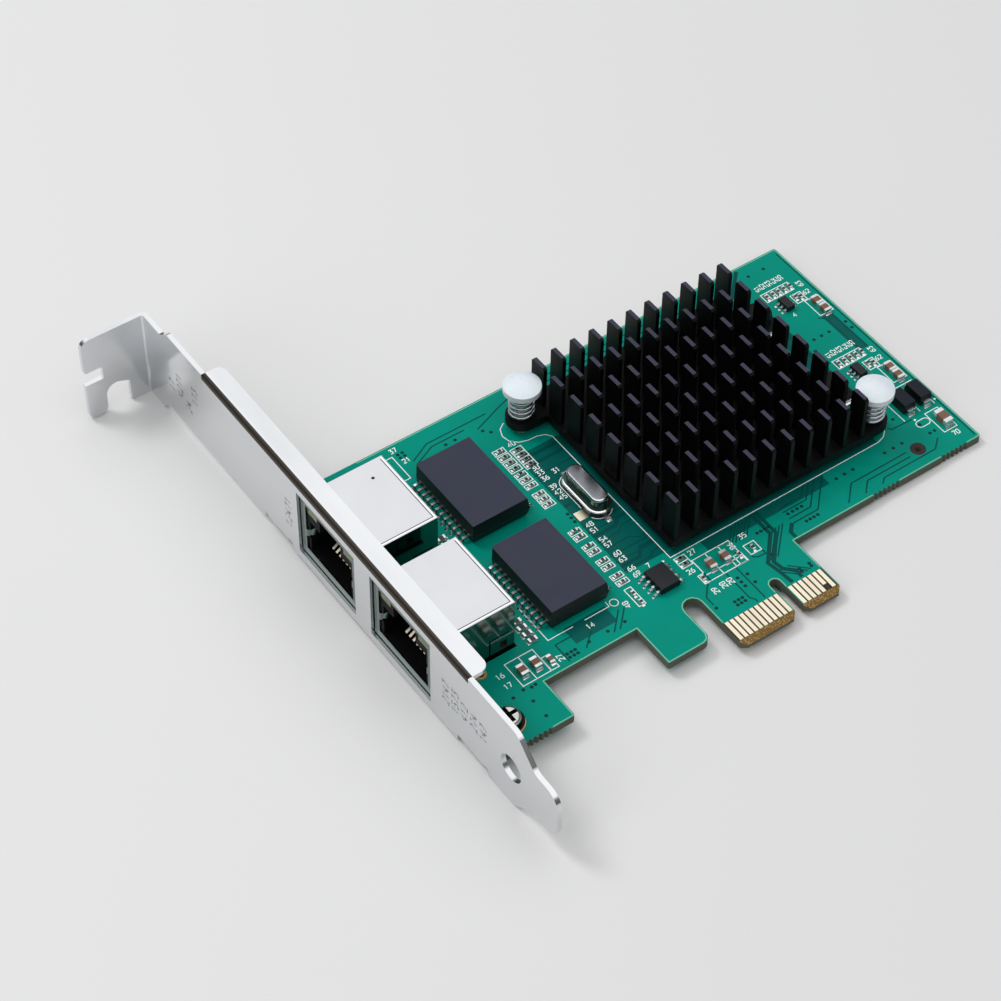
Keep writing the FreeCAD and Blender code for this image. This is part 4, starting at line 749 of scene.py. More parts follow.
@dataclass
class Silkscreen:
    """White outlines and plain digits printed on the component side."""

    line: float = 0.16
    level: float = 0.022
    digit: float = 0.92
    resistor_x: Pair = (-21.1, -18.9)
    resistor_ys: tuple[float, ...] = (
        49.55, 48.2, 46.75, 44.45, 43.1, 41.75, 34.4, 33.0, 30.6, 29.2, 26.85, 25.4, 23.05, 21.55,
    )
    resistor_half: float = 0.52
    # Where the resistors' numbers stand, the first one, the step and where they start again
    numbers_x: float = -17.1
    numbering: tuple[int, int, int] = (30, 3, 47)
    # Column x, first y, pitch and count of the framed resistors without digits
    framed_columns: tuple[tuple[float, float, float, int], ...] = (
        (-20.0, 51.24, 1.53, 4), (-17.3, 50.6, 1.3, 4),
    )
    framed_half: Pair = (1.1, 0.6)
    frames: tuple[tuple[float, float, float, float], ...] = (
        (-45.4, 13.55, -40.0, 18.7), (-39.9, 13.55, -38.45, 16.45), (-20.85, 15.9, -19.55, 20.0),
        (-10.4, 18.1, -8.3, 20.5), (-8.1, 13.55, -0.6, 18.65), (-9.3, 13.55, -8.1, 15.5),
        (-2.0, 13.5, -0.45, 15.5), (0.65, 14.1, 2.8, 16.3), (44.4, 16.5, 47.2, 21.6),
        (-37.5, 59.6, -35.4, 65.2),
    )
    lines: tuple[Line, ...] = (
        ((-42.75, 13.55), (-42.75, 18.7)), ((-10.4, 19.3), (-8.3, 19.3)), ((-8.1, 14.9), (-0.6, 14.9)),
        ((-5.45, 13.55), (-5.45, 18.65)), ((-2.8, 13.55), (-2.8, 18.65)),
        ((-10.55, 53.6), (-10.55, 21.15), (33.7, 21.15), (35.2, 21.6), (36.3, 22.6)),
        ((-10.5, 53.6), (-11.3, 54.7), (-12.6, 55.2), (-14.4, 55.3), (-16.0, 55.8), (-17.2, 57.0),
         (-17.5, 58.5), (-16.9, 60.0), (-15.6, 60.9)), ((-36.9, 26.9), (-36.9, 18.7), (-32.0, 18.7)),
        ((-29.7, 18.7), (-24.8, 18.7), (-24.8, 19.8)), ((-36.9, 59.6), (-36.9, 51.5)),
        ((40.5, 22.2), (40.5, 26.7)), ((43.8, 29.0), (47.8, 29.0)), ((44.2, 22.5), (44.2, 23.9)),
        ((47.45, 22.5), (47.45, 23.9)), ((-16.12, 43.5), (-16.12, 38.0)),
    )
    marks: tuple[tuple[str, float, float, bool], ...] = (
        ("14", -29.6, 17.3, True), ("37", -34.5, 66.3, True), ("21", -33.8, 63.3, True),
        ("27", -37.3, 14.8, False), ("16", -47.3, 17.2, True), ("17", -47.3, 15.0, True),
        ("7", -14.5, 21.9, True), ("27", -7.0, 20.1, True), ("26", -9.6, 17.0, True),
        ("48", -22.3, 17.4, False), ("29", -8.8, 11.5, False), ("28", -7.0, 11.7, False),
        ("20", -5.6, 11.7, False), ("35", 1.9, 18.1, True), ("86", -0.9, 17.4, False),
        ("70", 46.0, 15.4, True), ("4", 41.3, 52.7, True), ("5", 41.3, 33.0, True),
        ("31", -14.6, 47.2, True), ("40", -17.3, 56.2, True),
    )
    # Centre, radii, first and last angle of each arc
    arcs: tuple[tuple[Pair, Pair, float, float], ...] = (
        ((-23.7, 18.9), (0.72, 0.72), 0, 360), ((-13.92, 43.5), (2.2, 2.0), 180, 90),
        ((-13.8, 36.3), (2.32, 2.15), 205, 325),
    )
    # Centres of the two ends and the radius of the printed slot
    slot: tuple[Pair, Pair, float] = ((42.25, 20.25), (43.45, 20.25), 0.75)
    dots: tuple[Triple, ...] = ((42.1, 21.5, 0.0), (48.1, 23.3, 0.0), (-12.0, 21.2, 0.0))
    dot_r: float = 0.22
    # Frames, ticks and digits round one converter, and where along Y the two groups lie
    group_frames: tuple[Box, ...] = (
        (39.3, 57.7, 45.3, 59.8), (43.55, 54.5, 45.7, 56.7), (44.9, 49.9, 47.8, 54.3),
    )
    group_ticks: tuple[float, ...] = (40.5, 41.75, 43.0, 44.25)
    group_numbers_x: tuple[float, ...] = (39.9, 41.1, 42.4, 43.7, 44.9)
    group_numbers_y: float = 61.4
    group_first_number: int = 51
    group_digit: float = 0.95
    group_marks: tuple[tuple[str, float, float, bool], ...] = (
        ("63", 46.9, 58.2, False), ("62", 46.6, 56.0, True),
    )
    group_shifts: Pair = (0.0, -19.7)

    def regulator_lines(self, shift: float) -> list:
        """Draws the frames and digits round one converter and its small parts.

        Args:
            shift: how far the group lies from the upper one along Y.

        Returns:
            The lines of the group.
        """
        rows = [frame_line(x0, y0 + shift, x1, y1 + shift) for x0, y0, x1, y1 in self.group_frames]
        _, low, _, high = self.group_frames[0]
        rows += [((x, low + shift), (x, high + shift)) for x in self.group_ticks]
        for index, x in enumerate(self.group_numbers_x):
            rows += digit_lines(str(self.group_first_number + index), x, self.group_numbers_y + shift,
                                self.digit * self.group_digit, False)
        for text, x, y, upright in self.group_marks:
            rows += digit_lines(text, x, y + shift, self.digit, upright)
        return rows

    def all_lines(self) -> list:
        """Gathers every printed line.

        Returns:
            Lines of points on the board's surface.
        """
        (low, high), half, (across, along) = self.resistor_x, self.resistor_half, self.framed_half
        rows = [frame_line(low, y - half, high, y + half) for y in self.resistor_ys]
        rows += [frame_line(x - across, y - along, x + across, y + along)
                 for x, first, pitch, count in self.framed_columns for y in first + pitch * np.arange(count)]
        rows += [frame_line(*corners) for corners in self.frames]
        rows += self.lines
        first, step, turn = self.numbering
        for index, y in enumerate(self.resistor_ys):
            rows += digit_lines(str(first + index * step % turn), self.numbers_x, y, self.digit)
        for text, x, y, upright in self.marks:
            rows += digit_lines(text, x, y, self.digit, upright)
        rows += [arc_line(*arc) for arc in self.arcs]
        left, right, radius = self.slot
        slot = arc_line(left, (radius, radius), 90, 270) + arc_line(right, (radius, radius), 270, 450)
        rows.append(slot + [(left[0], left[1] + radius)])
        for shift in self.group_shifts:
            rows += self.regulator_lines(shift)
        return rows

    def build(self) -> None:
        """Prints the lines as thin strips of ink, and three tiny dots."""
        make_piece("silkscreen_lines", flat_strips(self.all_lines(), self.line, self.level), Palette.ink)
        dot = ((self.dot_r, self.level), (0.0, self.level))
        make_piece("silkscreen_dots", turned_shapes(dot, self.dots, 12), Palette.ink)


@dataclass
class CopperLayer:
    """What the copper under the mask shows: gaps between runs, the outline's pale edge, painted as a
    highlight, and the vias.
    """

    gap: float = 0.26
    gap_level: float = 0.008
    run: float = 0.7
    run_level: float = 0.006
    zone_level: float = 0.004
    edge: float = 0.16
    edge_level: float = 0.012
    # The contact fingers: box of the bare strips, pitch, strip width and half the notch
    tongue: Box = (-12.0, 1.25, 8.2, 5.45)
    finger_pitch: float = 1.0
    finger_gap: float = 0.3
    notch_half: float = 1.0
    below_short: Line = ((6.5, 1.25), (6.5, 2.45))
    below_short_width: float = 0.9
    via_profile: Line = ((0.33, 0.0), (0.2475, 0.02), (0.165, 0.02), (0.0825, 0.006), (0.0, 0.006))
    via_segments: int = 12
    tooling_hole: Triple = (38.2, 16.2, 0.0)
    tooling_rim: Line = ((1.4, 0.0), (1.3, 0.016), (0.75, 0.016), (0.6, 0.0))
    gold_pad: Line = ((-17.0, 35.8), (-17.0, 37.75))
    gold_pad_width: float = 1.95
    gaps: tuple[Line, ...] = (
        ((-10.9, 9.3), (-10.9, 11.2), (-9.4, 12.9), (-8.9, 13.3)),
        ((-5.2, 13.3), (-5.2, 7.2), (-4.65, 6.5), (-4.65, 5.8)), ((-3.1, 13.3), (-3.1, 5.8)),
        ((0.6, 15.6), (0.6, 13.6), (1.4, 13.1), (2.8, 13.0), (2.9, 15.6)),
        ((10.6, 19.2), (15.3, 19.2), (17.1, 21.0)), ((10.6, 18.2), (15.5, 18.2), (18.3, 21.0)),
        ((10.6, 16.55), (15.1, 16.55), (19.5, 21.0)), ((10.6, 15.45), (15.8, 15.45), (21.3, 21.0)),
        ((-18.4, 48.0), (-10.6, 48.0)), ((-18.4, 46.8), (-16.9, 46.8), (-16.2, 46.1)),
        ((-18.4, 34.4), (-10.6, 34.4)), ((-18.4, 32.9), (-10.6, 32.9)),
        ((-18.4, 30.4), (-14.0, 30.4), (-12.9, 31.4), (-10.6, 31.4)),
        ((-18.4, 28.6), (-13.2, 28.6), (-12.0, 27.6), (-10.6, 27.6)), ((-18.4, 26.9), (-10.6, 26.9)),
        ((-18.4, 25.3), (-10.6, 25.3)), ((-18.4, 23.2), (-13.0, 23.2), (-12.0, 24.0), (-10.6, 24.0)),
        ((37.0, 22.8), (37.4, 22.1), (41.8, 21.9)), ((44.2, 49.7), (45.3, 48.7), (45.3, 39.5)),
        ((46.2, 49.7), (46.8, 48.8), (46.8, 39.5)), ((48.3, 13.2), (48.3, 66.5)),
        ((20.9, 13.6), (24.0, 16.7), (36.0, 16.7)), ((24.6, 13.6), (26.6, 15.6), (36.0, 15.6)),
        ((28.3, 13.6), (29.3, 14.5), (40.6, 14.5), (42.6, 16.2)),
        ((31.5, 57.0), (31.5, 62.3), (36.5, 66.7)),
        ((-12.0, 62.6), (-7.0, 64.6), (26.0, 64.6), (30.0, 66.7)),
        ((-20.0, 62.2), (-14.0, 64.4), (-9.0, 65.9), (24.0, 65.9)),
        ((-33.0, 61.4), (-28.6, 63.4), (-22.0, 63.4)), ((-33.0, 62.4), (-29.0, 64.4), (-16.8, 64.4)),
        ((-36.5, 13.4), (-36.5, 17.3), (-33.0, 17.3)), ((-27.3, 14.0), (-24.0, 17.3)),
        ((-26.1, 14.0), (-22.8, 17.3)), ((-32.8, 14.0), (-30.2, 16.3)),
    )
    # Middle line and width of each dark area: mask over bare core without copper, and painted shade on the
    # board along the heatsink's edges
    core_and_shade_zones: tuple[tuple[Line, float], ...] = (
        (((-12.6, 22.6), (-12.6, 53.4)), 11.4), (((-6.8, 22.2), (33.6, 22.2)), 2.0),
        (((-10.5, 21.87), (-6.85, 21.87)), 1.3), (((-4.5, 19.85), (21.0, 19.85)), 2.3),
        (((36.4, 23.6), (36.4, 58.0)), 3.0), (((-33.6, 17.4), (-25.4, 17.4)), 3.6),
        (((46.0, 39.5), (46.0, 49.6)), 2.2),
    )
    # First line's two ends, count and step along X of each row of slanted gaps
    slant_rows: tuple[tuple[float, float, float, float, int, float], ...] = (
        (-1.3, 17.6, 1.9, 20.8, 6, 0.75), (1.8, 11.3, 6.9, 16.4, 4, 0.72), (4.6, 6.3, 1.8, 9.0, 4, 0.72),
    )
    borders: tuple[Line, ...] = (
        ((-56.4, 4.6), (-52.2, 4.6)),
        ((-46.2, 4.6), (-42.25, 4.6), (-42.25, 12.65), (-23.8, 12.65), (-23.8, 4.3), (-16.9, 4.3),
         (-15.98, 4.68), (-15.6, 5.6), (-15.6, 10.95), (-15.35, 11.88), (-14.68, 12.55), (-13.75, 12.8),
         (-12.83, 12.55), (-12.15, 11.88), (-11.9, 10.95), (-11.9, 5.7)),
        ((-1.15, 5.7), (-1.15, 7.1), (-1.0, 7.68), (-0.58, 8.1), (0.0, 8.25), (0.58, 8.1), (1.0, 7.68),
         (1.15, 7.1), (1.15, 5.7)), ((8.15, 5.7), (8.15, 12.65), (25.3, 12.65)),
        ((31.1, 12.65), (40.2, 12.65)), ((46.0, 12.65), (48.75, 12.65), (48.75, 67.5), (-41.0, 67.5)),
    )
    runs: tuple[Line, ...] = (
        ((6.0, 21.0), (6.0, 15.8), (5.38, 15.14), (1.76, 11.18), (2.16, 8.85), (2.5, 5.8)),
        ((6.9, 21.0), (6.9, 15.4), (2.7, 10.8), (3.0, 8.95), (4.5, 7.2), (4.5, 5.8)),
        ((-18.3, 52.2), (-10.7, 52.2)), ((-18.3, 50.4), (-10.7, 50.4)), ((-18.3, 41.6), (-16.9, 41.6)),
        ((-18.3, 39.8), (-16.9, 39.8)), ((-18.3, 31.8), (-13.6, 31.8), (-12.4, 33.0), (-10.7, 33.0)),
        ((-18.3, 24.2), (-14.6, 24.2), (-13.0, 25.8), (-10.7, 25.8)), ((37.2, 56.9), (37.2, 24.0)),
        ((38.6, 44.0), (38.6, 40.0)), ((34.6, 62.0), (39.6, 67.0)),
        ((-3.0, 62.8), (24.0, 62.8), (27.8, 66.6)), ((9.0, 12.9), (9.0, 14.2), (10.4, 15.6)),
    )
    # Each y and the x of every via at it
    vias: tuple[tuple[float, tuple[float, ...]], ...] = (
        (6.7, (5.15, 7.2)), (6.9, (-45.8,)), (7.15, (-7.7, -6.93, -6.15)), (7.3, (5.15, 7.2)),
        (7.93, (-7.7, -6.93, -6.15)), (8.6, (-10.93,)), (9.3, (-2.4,)), (9.55, (-4.25,)), (10.35, (-45.8,)),
        (10.55, (-4.25,)), (11.3, (-2.4,)), (11.55, (-4.25,)), (12.2, (3.4,)), (12.6, (-48.0,)),
        (12.7, (-44.4,)), (12.8, (-43.6,)), (13.0, (-45.8,)), (13.4, (-54.8,)),
        (14.0, (-36.0, -35.2, -34.45)), (14.55, (12.6, 13.4, 14.2, 15.04)),
        (14.8, (-36.0, -35.2, -34.45, -31.7, -28.0, -24.6)), (15.6, (-54.8,)),
        (17.15, (4.3, 5.07, 5.85, 6.67)), (17.5, (11.1, 12.07, 13.0, 13.96)), (17.75, (42.25, 43.25)),
        (18.7, (36.8, 34.9, 33.0)), (18.9, (22.6, 24.4, 26.2)), (20.25, (42.1,)), (23.75, (39.1,)),
        (31.0, (43.6, 41.9, 40.2)), (36.25, (-18.7,)), (37.25, (-18.7,)), (38.25, (-18.7,)),
        (44.6, (47.6,)), (46.0, (43.6, 41.9, 40.2)), (46.3, (47.6,)), (60.4, (-18.5,)), (61.4, (-19.5,)),
        (62.4, (-24.5, -26.4, -43.4)), (63.8, (38.0,)), (64.3, (-34.3, -33.4)), (64.6, (-47.6, -45.6)),
        (64.8, (40.6, 44.0)), (65.1, (-34.3, -33.4)), (65.2, (-4.0, 2.0, 8.0, 14.0, 20.0)),
    )
    # First and last x, and count, of the runs that climb from the back contacts; lowest knee and its
    # step; size of the slanted part; highest end and its step down
    back_fan: tuple[float, float, int] = (-10.5, 7.0, 12)
    back_start: float = 6.2
    back_knee: Pair = (14.0, 0.8)
    back_slant: float = 6.0
    back_end: Pair = (31.0, 0.4)
    # First and last y, and count, of the level runs from the jacks; x of their four points and the rise
    back_level: tuple[float, float, int] = (24.0, 58.0, 14)
    back_level_x: Box = (-38.0, -14.0, -9.0, 0.0)
    back_rise: float = 1.8

    def back_gaps(self) -> list:
        """Draws the runs that fan out on the solder side.

        Returns:
            Lines from the contact fingers up to the controller, with one 45 degree step each, and
            level lines from the jacks to it.
        """
        rows = []
        for index, x in enumerate(np.linspace(*self.back_fan)):
            knee = self.back_knee[0] + self.back_knee[1] * index
            end = self.back_end[0] - self.back_end[1] * index
            beside = x + self.back_slant
            rows.append([(x, self.back_start), (x, knee), (beside, knee + self.back_slant), (beside, end)])
        start, bend, after, stop = self.back_level_x
        for index, y in enumerate(np.linspace(*self.back_level)):
            rows.append([(start, y), (bend - index % 3, y), (after - index % 3, y + self.back_rise),
                         (stop, y + self.back_rise)])
        return rows

    def build(self) -> None:
        """Makes the gap lines, the dark zones, partly painted shade, the pale edges, painted as highlights,
        the vias and the bare strips between the fingers, darkened with painted shade.
        """
        slanted = [((x0 + k * step, y0), (x1 + k * step, y1))
                   for x0, y0, x1, y1, count, step in self.slant_rows for k in range(count)]
        gaps = flat_strips([*self.gaps, *slanted], self.gap, self.gap_level)
        make_piece("copper_gaps_front", gaps, Palette.trace)
        # The dark zones: bare-core mask, and painted shade along the heatsink's edges
        core_and_shade_zones = join(*(flat_strips([line], width, self.zone_level) for line, width in self.core_and_shade_zones))
        make_piece("bare_core_and_painted_shade_zones", core_and_shade_zones, Palette.core_and_shade)
        make_piece("copper_runs_front", flat_strips(self.runs, self.run, self.run_level), Palette.trace)
        # Pale copper edges: painted highlight lines
        borders = flat_strips(self.borders, self.edge, self.edge_level)
        make_piece("copper_outline_painted_highlight", borders, Palette.copper_edge_highlight)
        x0, y0, x1, y1 = self.tongue
        between = [x for x in np.arange(x0, x1, self.finger_pitch) if abs(x) > self.notch_half]
        # Bare strips between the fingers, darkened with painted shade
        strips = flat_strips([((x, y0), (x, y1)) for x in between], self.finger_gap, self.gap_level)
        below = flat_strips([self.below_short], self.below_short_width, self.gap_level)
        make_piece("bare_strips_painted_shade_front", join(strips, below), Palette.shaded_bare_laminate)
        centres = [(x, y, 0.0) for y, xs in self.vias for x in xs]
        vias = turned_shapes(self.via_profile, centres, self.via_segments)
        make_piece("vias_front", vias, Palette.via, smooth=True)
        rim = turned_shapes(self.tooling_rim, [self.tooling_hole], 32)
        make_piece("tooling_hole_rim", rim, Palette.drilled_rim, smooth=True)
        pad = flat_strips([self.gold_pad], self.gold_pad_width, self.edge_level)
        make_piece("bare_gold_pad", pad, Palette.gold)
        back = flat_strips(self.back_gaps(), self.gap, self.gap_level)
        make_piece("copper_gaps_back", turned_over(back), Palette.trace)
        make_piece("vias_back", turned_over(vias), Palette.via, smooth=True)


def turned_over(shape: Mesh) -> Mesh:
    """Moves a shape from above the board's upper face to below its lower face: z becomes depth minus z."""
    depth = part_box("circuit_board")[0][2] / MM
    return shape[0] * (1.0, 1.0, -1.0) + (0.0, 0.0, depth), shape[1][:, ::-1]


def solid_boxes(node: bpy.types.Object) -> np.ndarray:
    """Finds the box of every separate solid of a node.

    Points at one place get one number. Then every triangle hands its lowest number to its
    corners until nothing changes, and points that share a number are one solid.

    Args:
        node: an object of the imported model.

    Returns:
        n by 2 by 3 array of lowest and highest corners in millimetres.
    """
    mesh = node.data
    mesh.calc_loop_triangles()
    places = np.empty(len(mesh.vertices) * 3)
    mesh.vertices.foreach_get("co", places)
    corners = np.empty(len(mesh.loop_triangles) * 3, dtype=np.int32)
    mesh.loop_triangles.foreach_get("vertices", corners)
    unique, number = np.unique(np.round(places.reshape(-1, 3) / MM, 3), axis=0, return_inverse=True)
    triangles = number.ravel()[corners].reshape(-1, 3)
    label = np.arange(len(unique))
    changed = True
    while changed:
        lowest = label.copy()
        np.minimum.at(lowest, triangles.ravel(), np.repeat(label[triangles].min(axis=1), 3))
        lowest = lowest[lowest]
        changed = bool((lowest != label).any())
        label = lowest
    groups, member = np.unique(label, return_inverse=True)
    low, high = (np.full((len(groups), 3), end) for end in (np.inf, -np.inf))
    np.minimum.at(low, member, unique)
    np.maximum.at(high, member, unique)
    return np.stack([low, high], axis=1)


@dataclass
class SolderJoints:
    """The tinned pads and the solder that climbs up every terminal on the component side."""

    pad_level: float = 0.014
    side_margin: float = 0.06
    outer_margin: float = 0.3
    climb: float = 0.5
    corner: float = 0.12
    foot_inset: float = 0.02
    # Shares of the way from the pad's outline to the foot's
    shares: tuple[float, ...] = (0.0, 0.03, 0.4, 0.75, 1.0)
    # Terminals, the bodies that they belong to, and the length of the foot at their outer end
    kinds: tuple[tuple[str, str, float], ...] = (
        ("resistor_end_caps", "resistor_bodies", 0.0), ("capacitor_end_caps", "capacitor_bodies", 0.0),
        ("magnetics_upper_leads", "magnetics_upper_case", 0.75),
        ("magnetics_lower_leads", "magnetics_lower_case", 0.75),
        ("memory_leads", "memory_chip", 0.75), ("converter_leads", "converter_chips", 0.6),
        ("diode_terminals", "power_diodes", 0.0), ("inductor_terminals", "inductors", 0.0),
        ("crystal_leads", "crystal_base", 1.0),
    )

    def feet(self, frame_nodes: dict, terminal: str, body: str, foot: float) -> tuple[np.ndarray, np.ndarray]:
        """Finds the feet of one kind of terminal and the way that each points away from its body.

        Args:
            frame_nodes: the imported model's objects by name.
            terminal: node with the terminals.
            body: node with the bodies.
            foot: length of the foot at the outer end, or zero for the whole terminal.

        Returns:
            The feet's boxes, and a unit step in X or Y for each.
        """
        boxes, bodies = solid_boxes(frame_nodes[terminal]), solid_boxes(frame_nodes[body])
        middle, home = boxes.mean(axis=1)[:, None, :2], bodies.mean(axis=1)[None, :, :2]
        apart = middle - home
        halves = (bodies[:, 1] - bodies[:, 0])[:, :2] / 2
        nearest = np.linalg.norm(np.maximum(np.abs(apart) - halves, 0), axis=-1).argmin(axis=1)
        away, reach = apart[np.arange(len(boxes)), nearest], halves[nearest]
        along_x = np.abs(away[:, 0]) / reach[:, 0] > np.abs(away[:, 1]) / reach[:, 1]
        step = np.where(along_x[:, None], (1.0, 0.0), (0.0, 1.0)) * np.sign(away)
        if foot:
            low, high = boxes[:, 0, :2].copy(), boxes[:, 1, :2].copy()
            low = np.where(step > 0, np.maximum(low, high - foot), low)
            high = np.where(step < 0, np.minimum(high, boxes[:, 0, :2] + foot), high)
            boxes[:, 0, :2], boxes[:, 1, :2] = low, high
        return boxes, step

    def outline(self, low: np.ndarray, high: np.ndarray) -> np.ndarray:
        """Gives each rectangle a rounded outline of twelve points.

        Each point is a corner, moved in by the corner radius and out again along one of three
        directions: x, the diagonal, and y.

        Args:
            low: n by 2 lowest corners.
            high: n by 2 highest corners.

        Returns:
            n by 12 by 2 points, counter-clockwise.
        """
        sign = np.array([(1, 1), (-1, 1), (-1, -1), (1, -1)], float)
        turn = np.radians(np.arange(len(sign))[:, None] * 90 + (0.0, 45.0, 90.0))
        circle = np.stack([np.cos(turn), np.sin(turn)], axis=-1)
        middle, half = (low + high) / 2, (high - low) / 2
        radius = np.minimum(self.corner, half.min(axis=1))[:, None, None]
        corner = middle[:, None, :] + sign[None] * (half[:, None, :] - radius)
        return (corner[:, :, None, :] + radius[:, :, :, None] * circle[None]).reshape(len(low), -1, 2)

    def fillets(self, boxes: np.ndarray, step: np.ndarray) -> Mesh:
        """Lofts the solder from each pad's outline up to its foot.

        At share t of the way in, the outline is the pad's mixed with the foot's by t, and the
        height is the climb times t squared, the hollow curve of a wetted joint.

        Args:
            boxes: the feet's boxes.
            step: the way that each foot points.

        Returns:
            The vertices and the quads.
        """
        outward = np.abs(step) * self.outer_margin
        low = boxes[:, 0, :2] - self.side_margin - np.where(step < 0, outward, 0)
        high = boxes[:, 1, :2] + self.side_margin + np.where(step > 0, outward, 0)
        pad = self.outline(low, high)
        foot = self.outline(boxes[:, 0, :2] + self.foot_inset, boxes[:, 1, :2] - self.foot_inset)
        top = boxes[:, 1, 2] * self.climb
        share = np.array(self.shares)
        flat = pad[:, None] * (1 - share)[None, :, None, None] + foot[:, None] * share[None, :, None, None]
        rise = self.pad_level * (share > 0)[None, :] + top[:, None] * share[None, :] ** 2
        height = np.broadcast_to(rise[:, :, None, None], flat.shape[:3] + (1,))
        faces = grid_faces(len(share), pad.shape[1], len(boxes), True)
        return np.concatenate([flat, height], axis=-1).reshape(-1, 3), faces

    def build(self, frame_nodes: dict) -> None:
        """Makes one piece of solder for each kind of terminal.

        Args:
            frame_nodes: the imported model's objects by name.
        """
        for terminal, body, foot in self.kinds:
            boxes, step = self.feet(frame_nodes, terminal, body, foot)
            make_piece("solder_" + terminal, self.fillets(boxes, step), Palette.solder, True)


@dataclass
class StampedMarks:
    """Plain digits stamped into the bracket's plate, read upwards from the lower edge."""

    plate_x: float = -58.01
    level: float = 0.16
    line: float = 0.3
    digit: float = 1.7
    rows: tuple[tuple[str, float, float], ...] = (
        ("2147", 16.8, 4.4), ("1573", 14.3, 4.6), ("412", 11.8, 4.6), ("274", 9.3, 4.8), ("147", 6.8, 4.8),
        ("12471", 61.8, 4.2), ("17", 98.6, 2.4), ("4271", 95.9, 4.4), ("24", 93.2, 1.6), ("173", 90.8, 6.0),
    )

    def build(self) -> None:
        """Lays the strokes on the plate: text runs along Z, its height along Y, facing out along -X."""
        lines = [line for text, y, z in self.rows for line in digit_lines(text, z, y, self.digit)]
        vertices, faces = flat_strips(lines, self.line, self.level)
        on_plate = np.stack([self.plate_x - vertices[:, 2], vertices[:, 1], vertices[:, 0]], axis=-1)
        make_piece("stamped_marks", (on_plate, faces), Palette.bracket)


@dataclass
class ShellSeams:
    """The dark seam and the bright sheared edge along two sides of each jack's top."""

    centres_y: Pair = (50.3, 29.15)
    half_width: float = 8.1
    front_x: float = -57.2
    back_x: float = -41.8
    top_z: float = 10.8
    seam_inset: float = 0.55
    seam_line: float = 0.13
    edge_inset: float = 0.3
    edge_line: float = 0.2
    level: float = 0.012
    # A small punch mark: x, y and its profile
    dimple: Pair = (-45.62, 55.07)
    dimple_profile: Line = ((0.3, 0.0), (0.21, 0.012), (0.0, 0.012))

    def around(self, inset: float) -> list:
        """Runs along the low-Y edge and the back edge of each top, this far inside the walls."""
        back, half = self.back_x - inset, self.half_width - inset
        return [((self.front_x, y - half), (back, y - half), (back, y + half)) for y in self.centres_y]

    def build(self) -> None:
        """Lays both lines of each jack and one small punch mark on the tops."""
        for name, inset, line, finish in (("shell_seams", self.seam_inset, self.seam_line, Palette.seam),
                                          ("shell_edges", self.edge_inset, self.edge_line, Palette.sheared)):
            shape = flat_strips(self.around(inset), line, self.level)
            make_piece(name, lifted(shape, self.top_z), finish)
        mark = turned_shapes(self.dimple_profile, [(*self.dimple, self.top_z)], 16)
        make_piece("shell_punch_mark", mark, Palette.seam, True)


@dataclass
class FlangeBead:
    """The bright rolled edge round the crystal can's flange."""

    centre: Pair = (-13.8, 39.65)
    half_width: float = 2.3
    half_straight: float = 3.15
    top_z: float = 1.29
    # Distance out from the flange's edge and height over its top
    profile: Line = ((0.06, -0.14), (0.04, -0.05), (-0.3, 0.09), (-0.36, -0.01))

    def build(self) -> None:
        """Lofts the profile round two half circles joined by straight runs."""
        x, y = self.centre
        rows = []
        for out, up in self.profile:
            radii = (self.half_width + out, self.half_width + out)
            path = np.array(arc_line((x, y + self.half_straight), radii, 0, 180)
                            + arc_line((x, y - self.half_straight), radii, 180, 360))
            rows.append(np.hstack([path, np.full((len(path), 1), self.top_z + up)]))
        faces = grid_faces(len(rows), len(rows[0]), 1, True)
        make_piece("crystal_flange_bead", (np.vstack(rows), faces), Palette.sheared)


# ---- Floor, lamps and camera


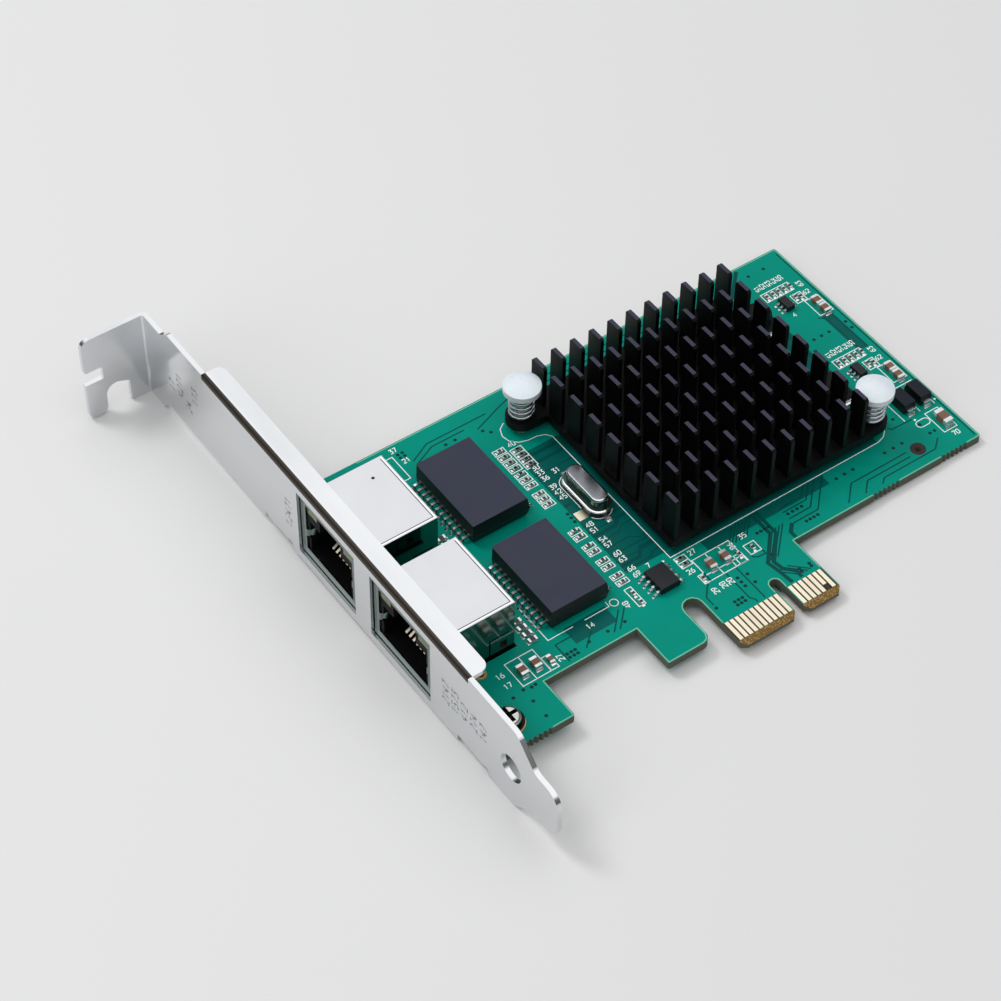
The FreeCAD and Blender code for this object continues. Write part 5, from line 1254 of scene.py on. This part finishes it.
@dataclass
class Studio:
    """The floor that the card lies on, the lamps and the camera."""

    rest_points: tuple[Triple, ...] = ((-64.0, 106.6, -6.13), (-58.0, -2.0, -3.93),
                                                           (48.95, 12.45, -1.57))
    floor_gap: float = 0.05
    floor_reach: float = 1500.0
    camera_place: Triple = (-204.91, -199.73, 350.03)
    azimuth: float = -35.941
    elevation: float = 48.956
    roll: float = 0.764
    lens: float = 101.03
    sensor: float = 36.0
    clip_m: Pair = (0.01, 20.0)
    # Name, place, size and power of each lamp, and the point that they look at
    lamps: tuple[tuple[str, Triple, float, float], ...] = (
        ("key_softbox", (-260.0, 420.0, 620.0), 240.0, 1.7),
        ("left_fill", (-560.0, -40.0, 300.0), 320.0, 0.5),
    )
    aim: Triple = (-10.0, 45.0, 0.0)
    # Height of the direction and the room's colour there, the two ends first: dark walls and a
    # bright ceiling
    room: tuple[tuple[float, str], ...] = (
        (0.0, "#55565a"), (1.0, "#ffffff"), (0.12, "#4c4b4a"), (0.5, "#6a6a69"), (0.62, "#c9cbcd"),
        (0.71, "#ffffff"),
    )
    room_strength: float = 1.22

    def floor(self) -> None:
        """Lays the floor under the three points that the card rests on."""
        low, left, right = (np.array(point) for point in self.rest_points)
        normal = np.cross(right - left, low - left)
        normal /= np.linalg.norm(normal)
        along = np.cross([0.0, 1.0, 0.0], normal)
        along /= np.linalg.norm(along)
        across = np.cross(normal, along)
        signs = np.array([(-1, -1), (1, -1), (1, 1), (-1, 1)], float) * self.floor_reach
        corners = left - normal * self.floor_gap + signs[:, :1] * along + signs[:, 1:] * across
        mesh = bpy.data.meshes.new("floor")
        mesh.from_pydata((corners * MM).tolist(), [], [(0, 1, 2, 3)])
        mesh.materials.append(Palette.floor.material())
        floor = bpy.data.objects.new("floor", mesh)
        bpy.context.scene.collection.objects.link(floor)

    def light(self) -> None:
        """Hangs the soft lamps, which no mirror shows, and sets the even light of the room."""
        for name, place, size, power in self.lamps:
            data = bpy.data.lights.new(name, "AREA")
            data.shape = "DISK"
            data.size = size * MM
            data.energy = power
            lamp = bpy.data.objects.new(name, data)
            lamp.visible_glossy = False
            lamp.location = Vector(place) * MM
            lamp.rotation_euler = (Vector(self.aim) * MM - lamp.location).to_track_quat("-Z", "Y").to_euler()
            bpy.context.scene.collection.objects.link(lamp)
        world = bpy.data.worlds.new("room")
        world.use_nodes = True
        nodes = Nodes(world.node_tree)
        height = nodes.add("SeparateXYZ", {0: nodes.add("TexCoord", output="Generated")}, "Z")
        ramp = nodes.add("ValToRGB", {0: height}, "Color")
        stops = ramp.node.color_ramp.elements
        for index, (position, colour) in enumerate(self.room):
            stop = stops[index] if index < 2 else stops.new(position)
            stop.position, stop.color = position, linear(colour)
        nodes.feed(nodes.tree.nodes["Background"], {"Color": ramp, "Strength": self.room_strength})
        bpy.context.scene.world = world

    def camera(self) -> None:
        """Places the camera as the photograph was taken."""
        a, e, r = (math.radians(angle) for angle in (self.azimuth, self.elevation, self.roll))
        right = Vector((math.cos(a), math.sin(a), 0.0))
        back = Vector((math.sin(a) * math.cos(e), -math.cos(a) * math.cos(e), math.sin(e)))
        turned_right = right * math.cos(r) + back.cross(right) * math.sin(r)
        data = bpy.data.cameras.new("photo_camera")
        data.lens = self.lens
        data.sensor_width = self.sensor
        data.sensor_fit = "HORIZONTAL"
        data.clip_start, data.clip_end = self.clip_m
        camera = bpy.data.objects.new("photo_camera", data)
        turn = Matrix((turned_right, back.cross(turned_right), back)).transposed().to_4x4()
        camera.matrix_world = Matrix.Translation(Vector(self.camera_place) * MM) @ turn
        bpy.context.scene.collection.objects.link(camera)
        bpy.context.scene.camera = camera

    def build(self) -> None:
        """Sets up floor, lamps and camera."""
        self.floor()
        self.light()
        self.camera()


def main() -> None:
    """Builds the card's looks in order."""
    logging.basicConfig(level=logging.INFO, format="%(name)s: %(message)s")
    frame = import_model()
    bpy.context.scene.view_settings.view_transform = "Standard"
    for finish in Finishes:
        finish.dress(frame["nodes"])
        LOG.info("dressed %s", finish.name.lower())
    CopperLayer().build()
    Silkscreen().build()
    SolderJoints().build(frame["nodes"])
    StampedMarks().build()
    ShellSeams().build()
    FlangeBead().build()
    Studio().build()


if __name__ == "__main__":
    main()
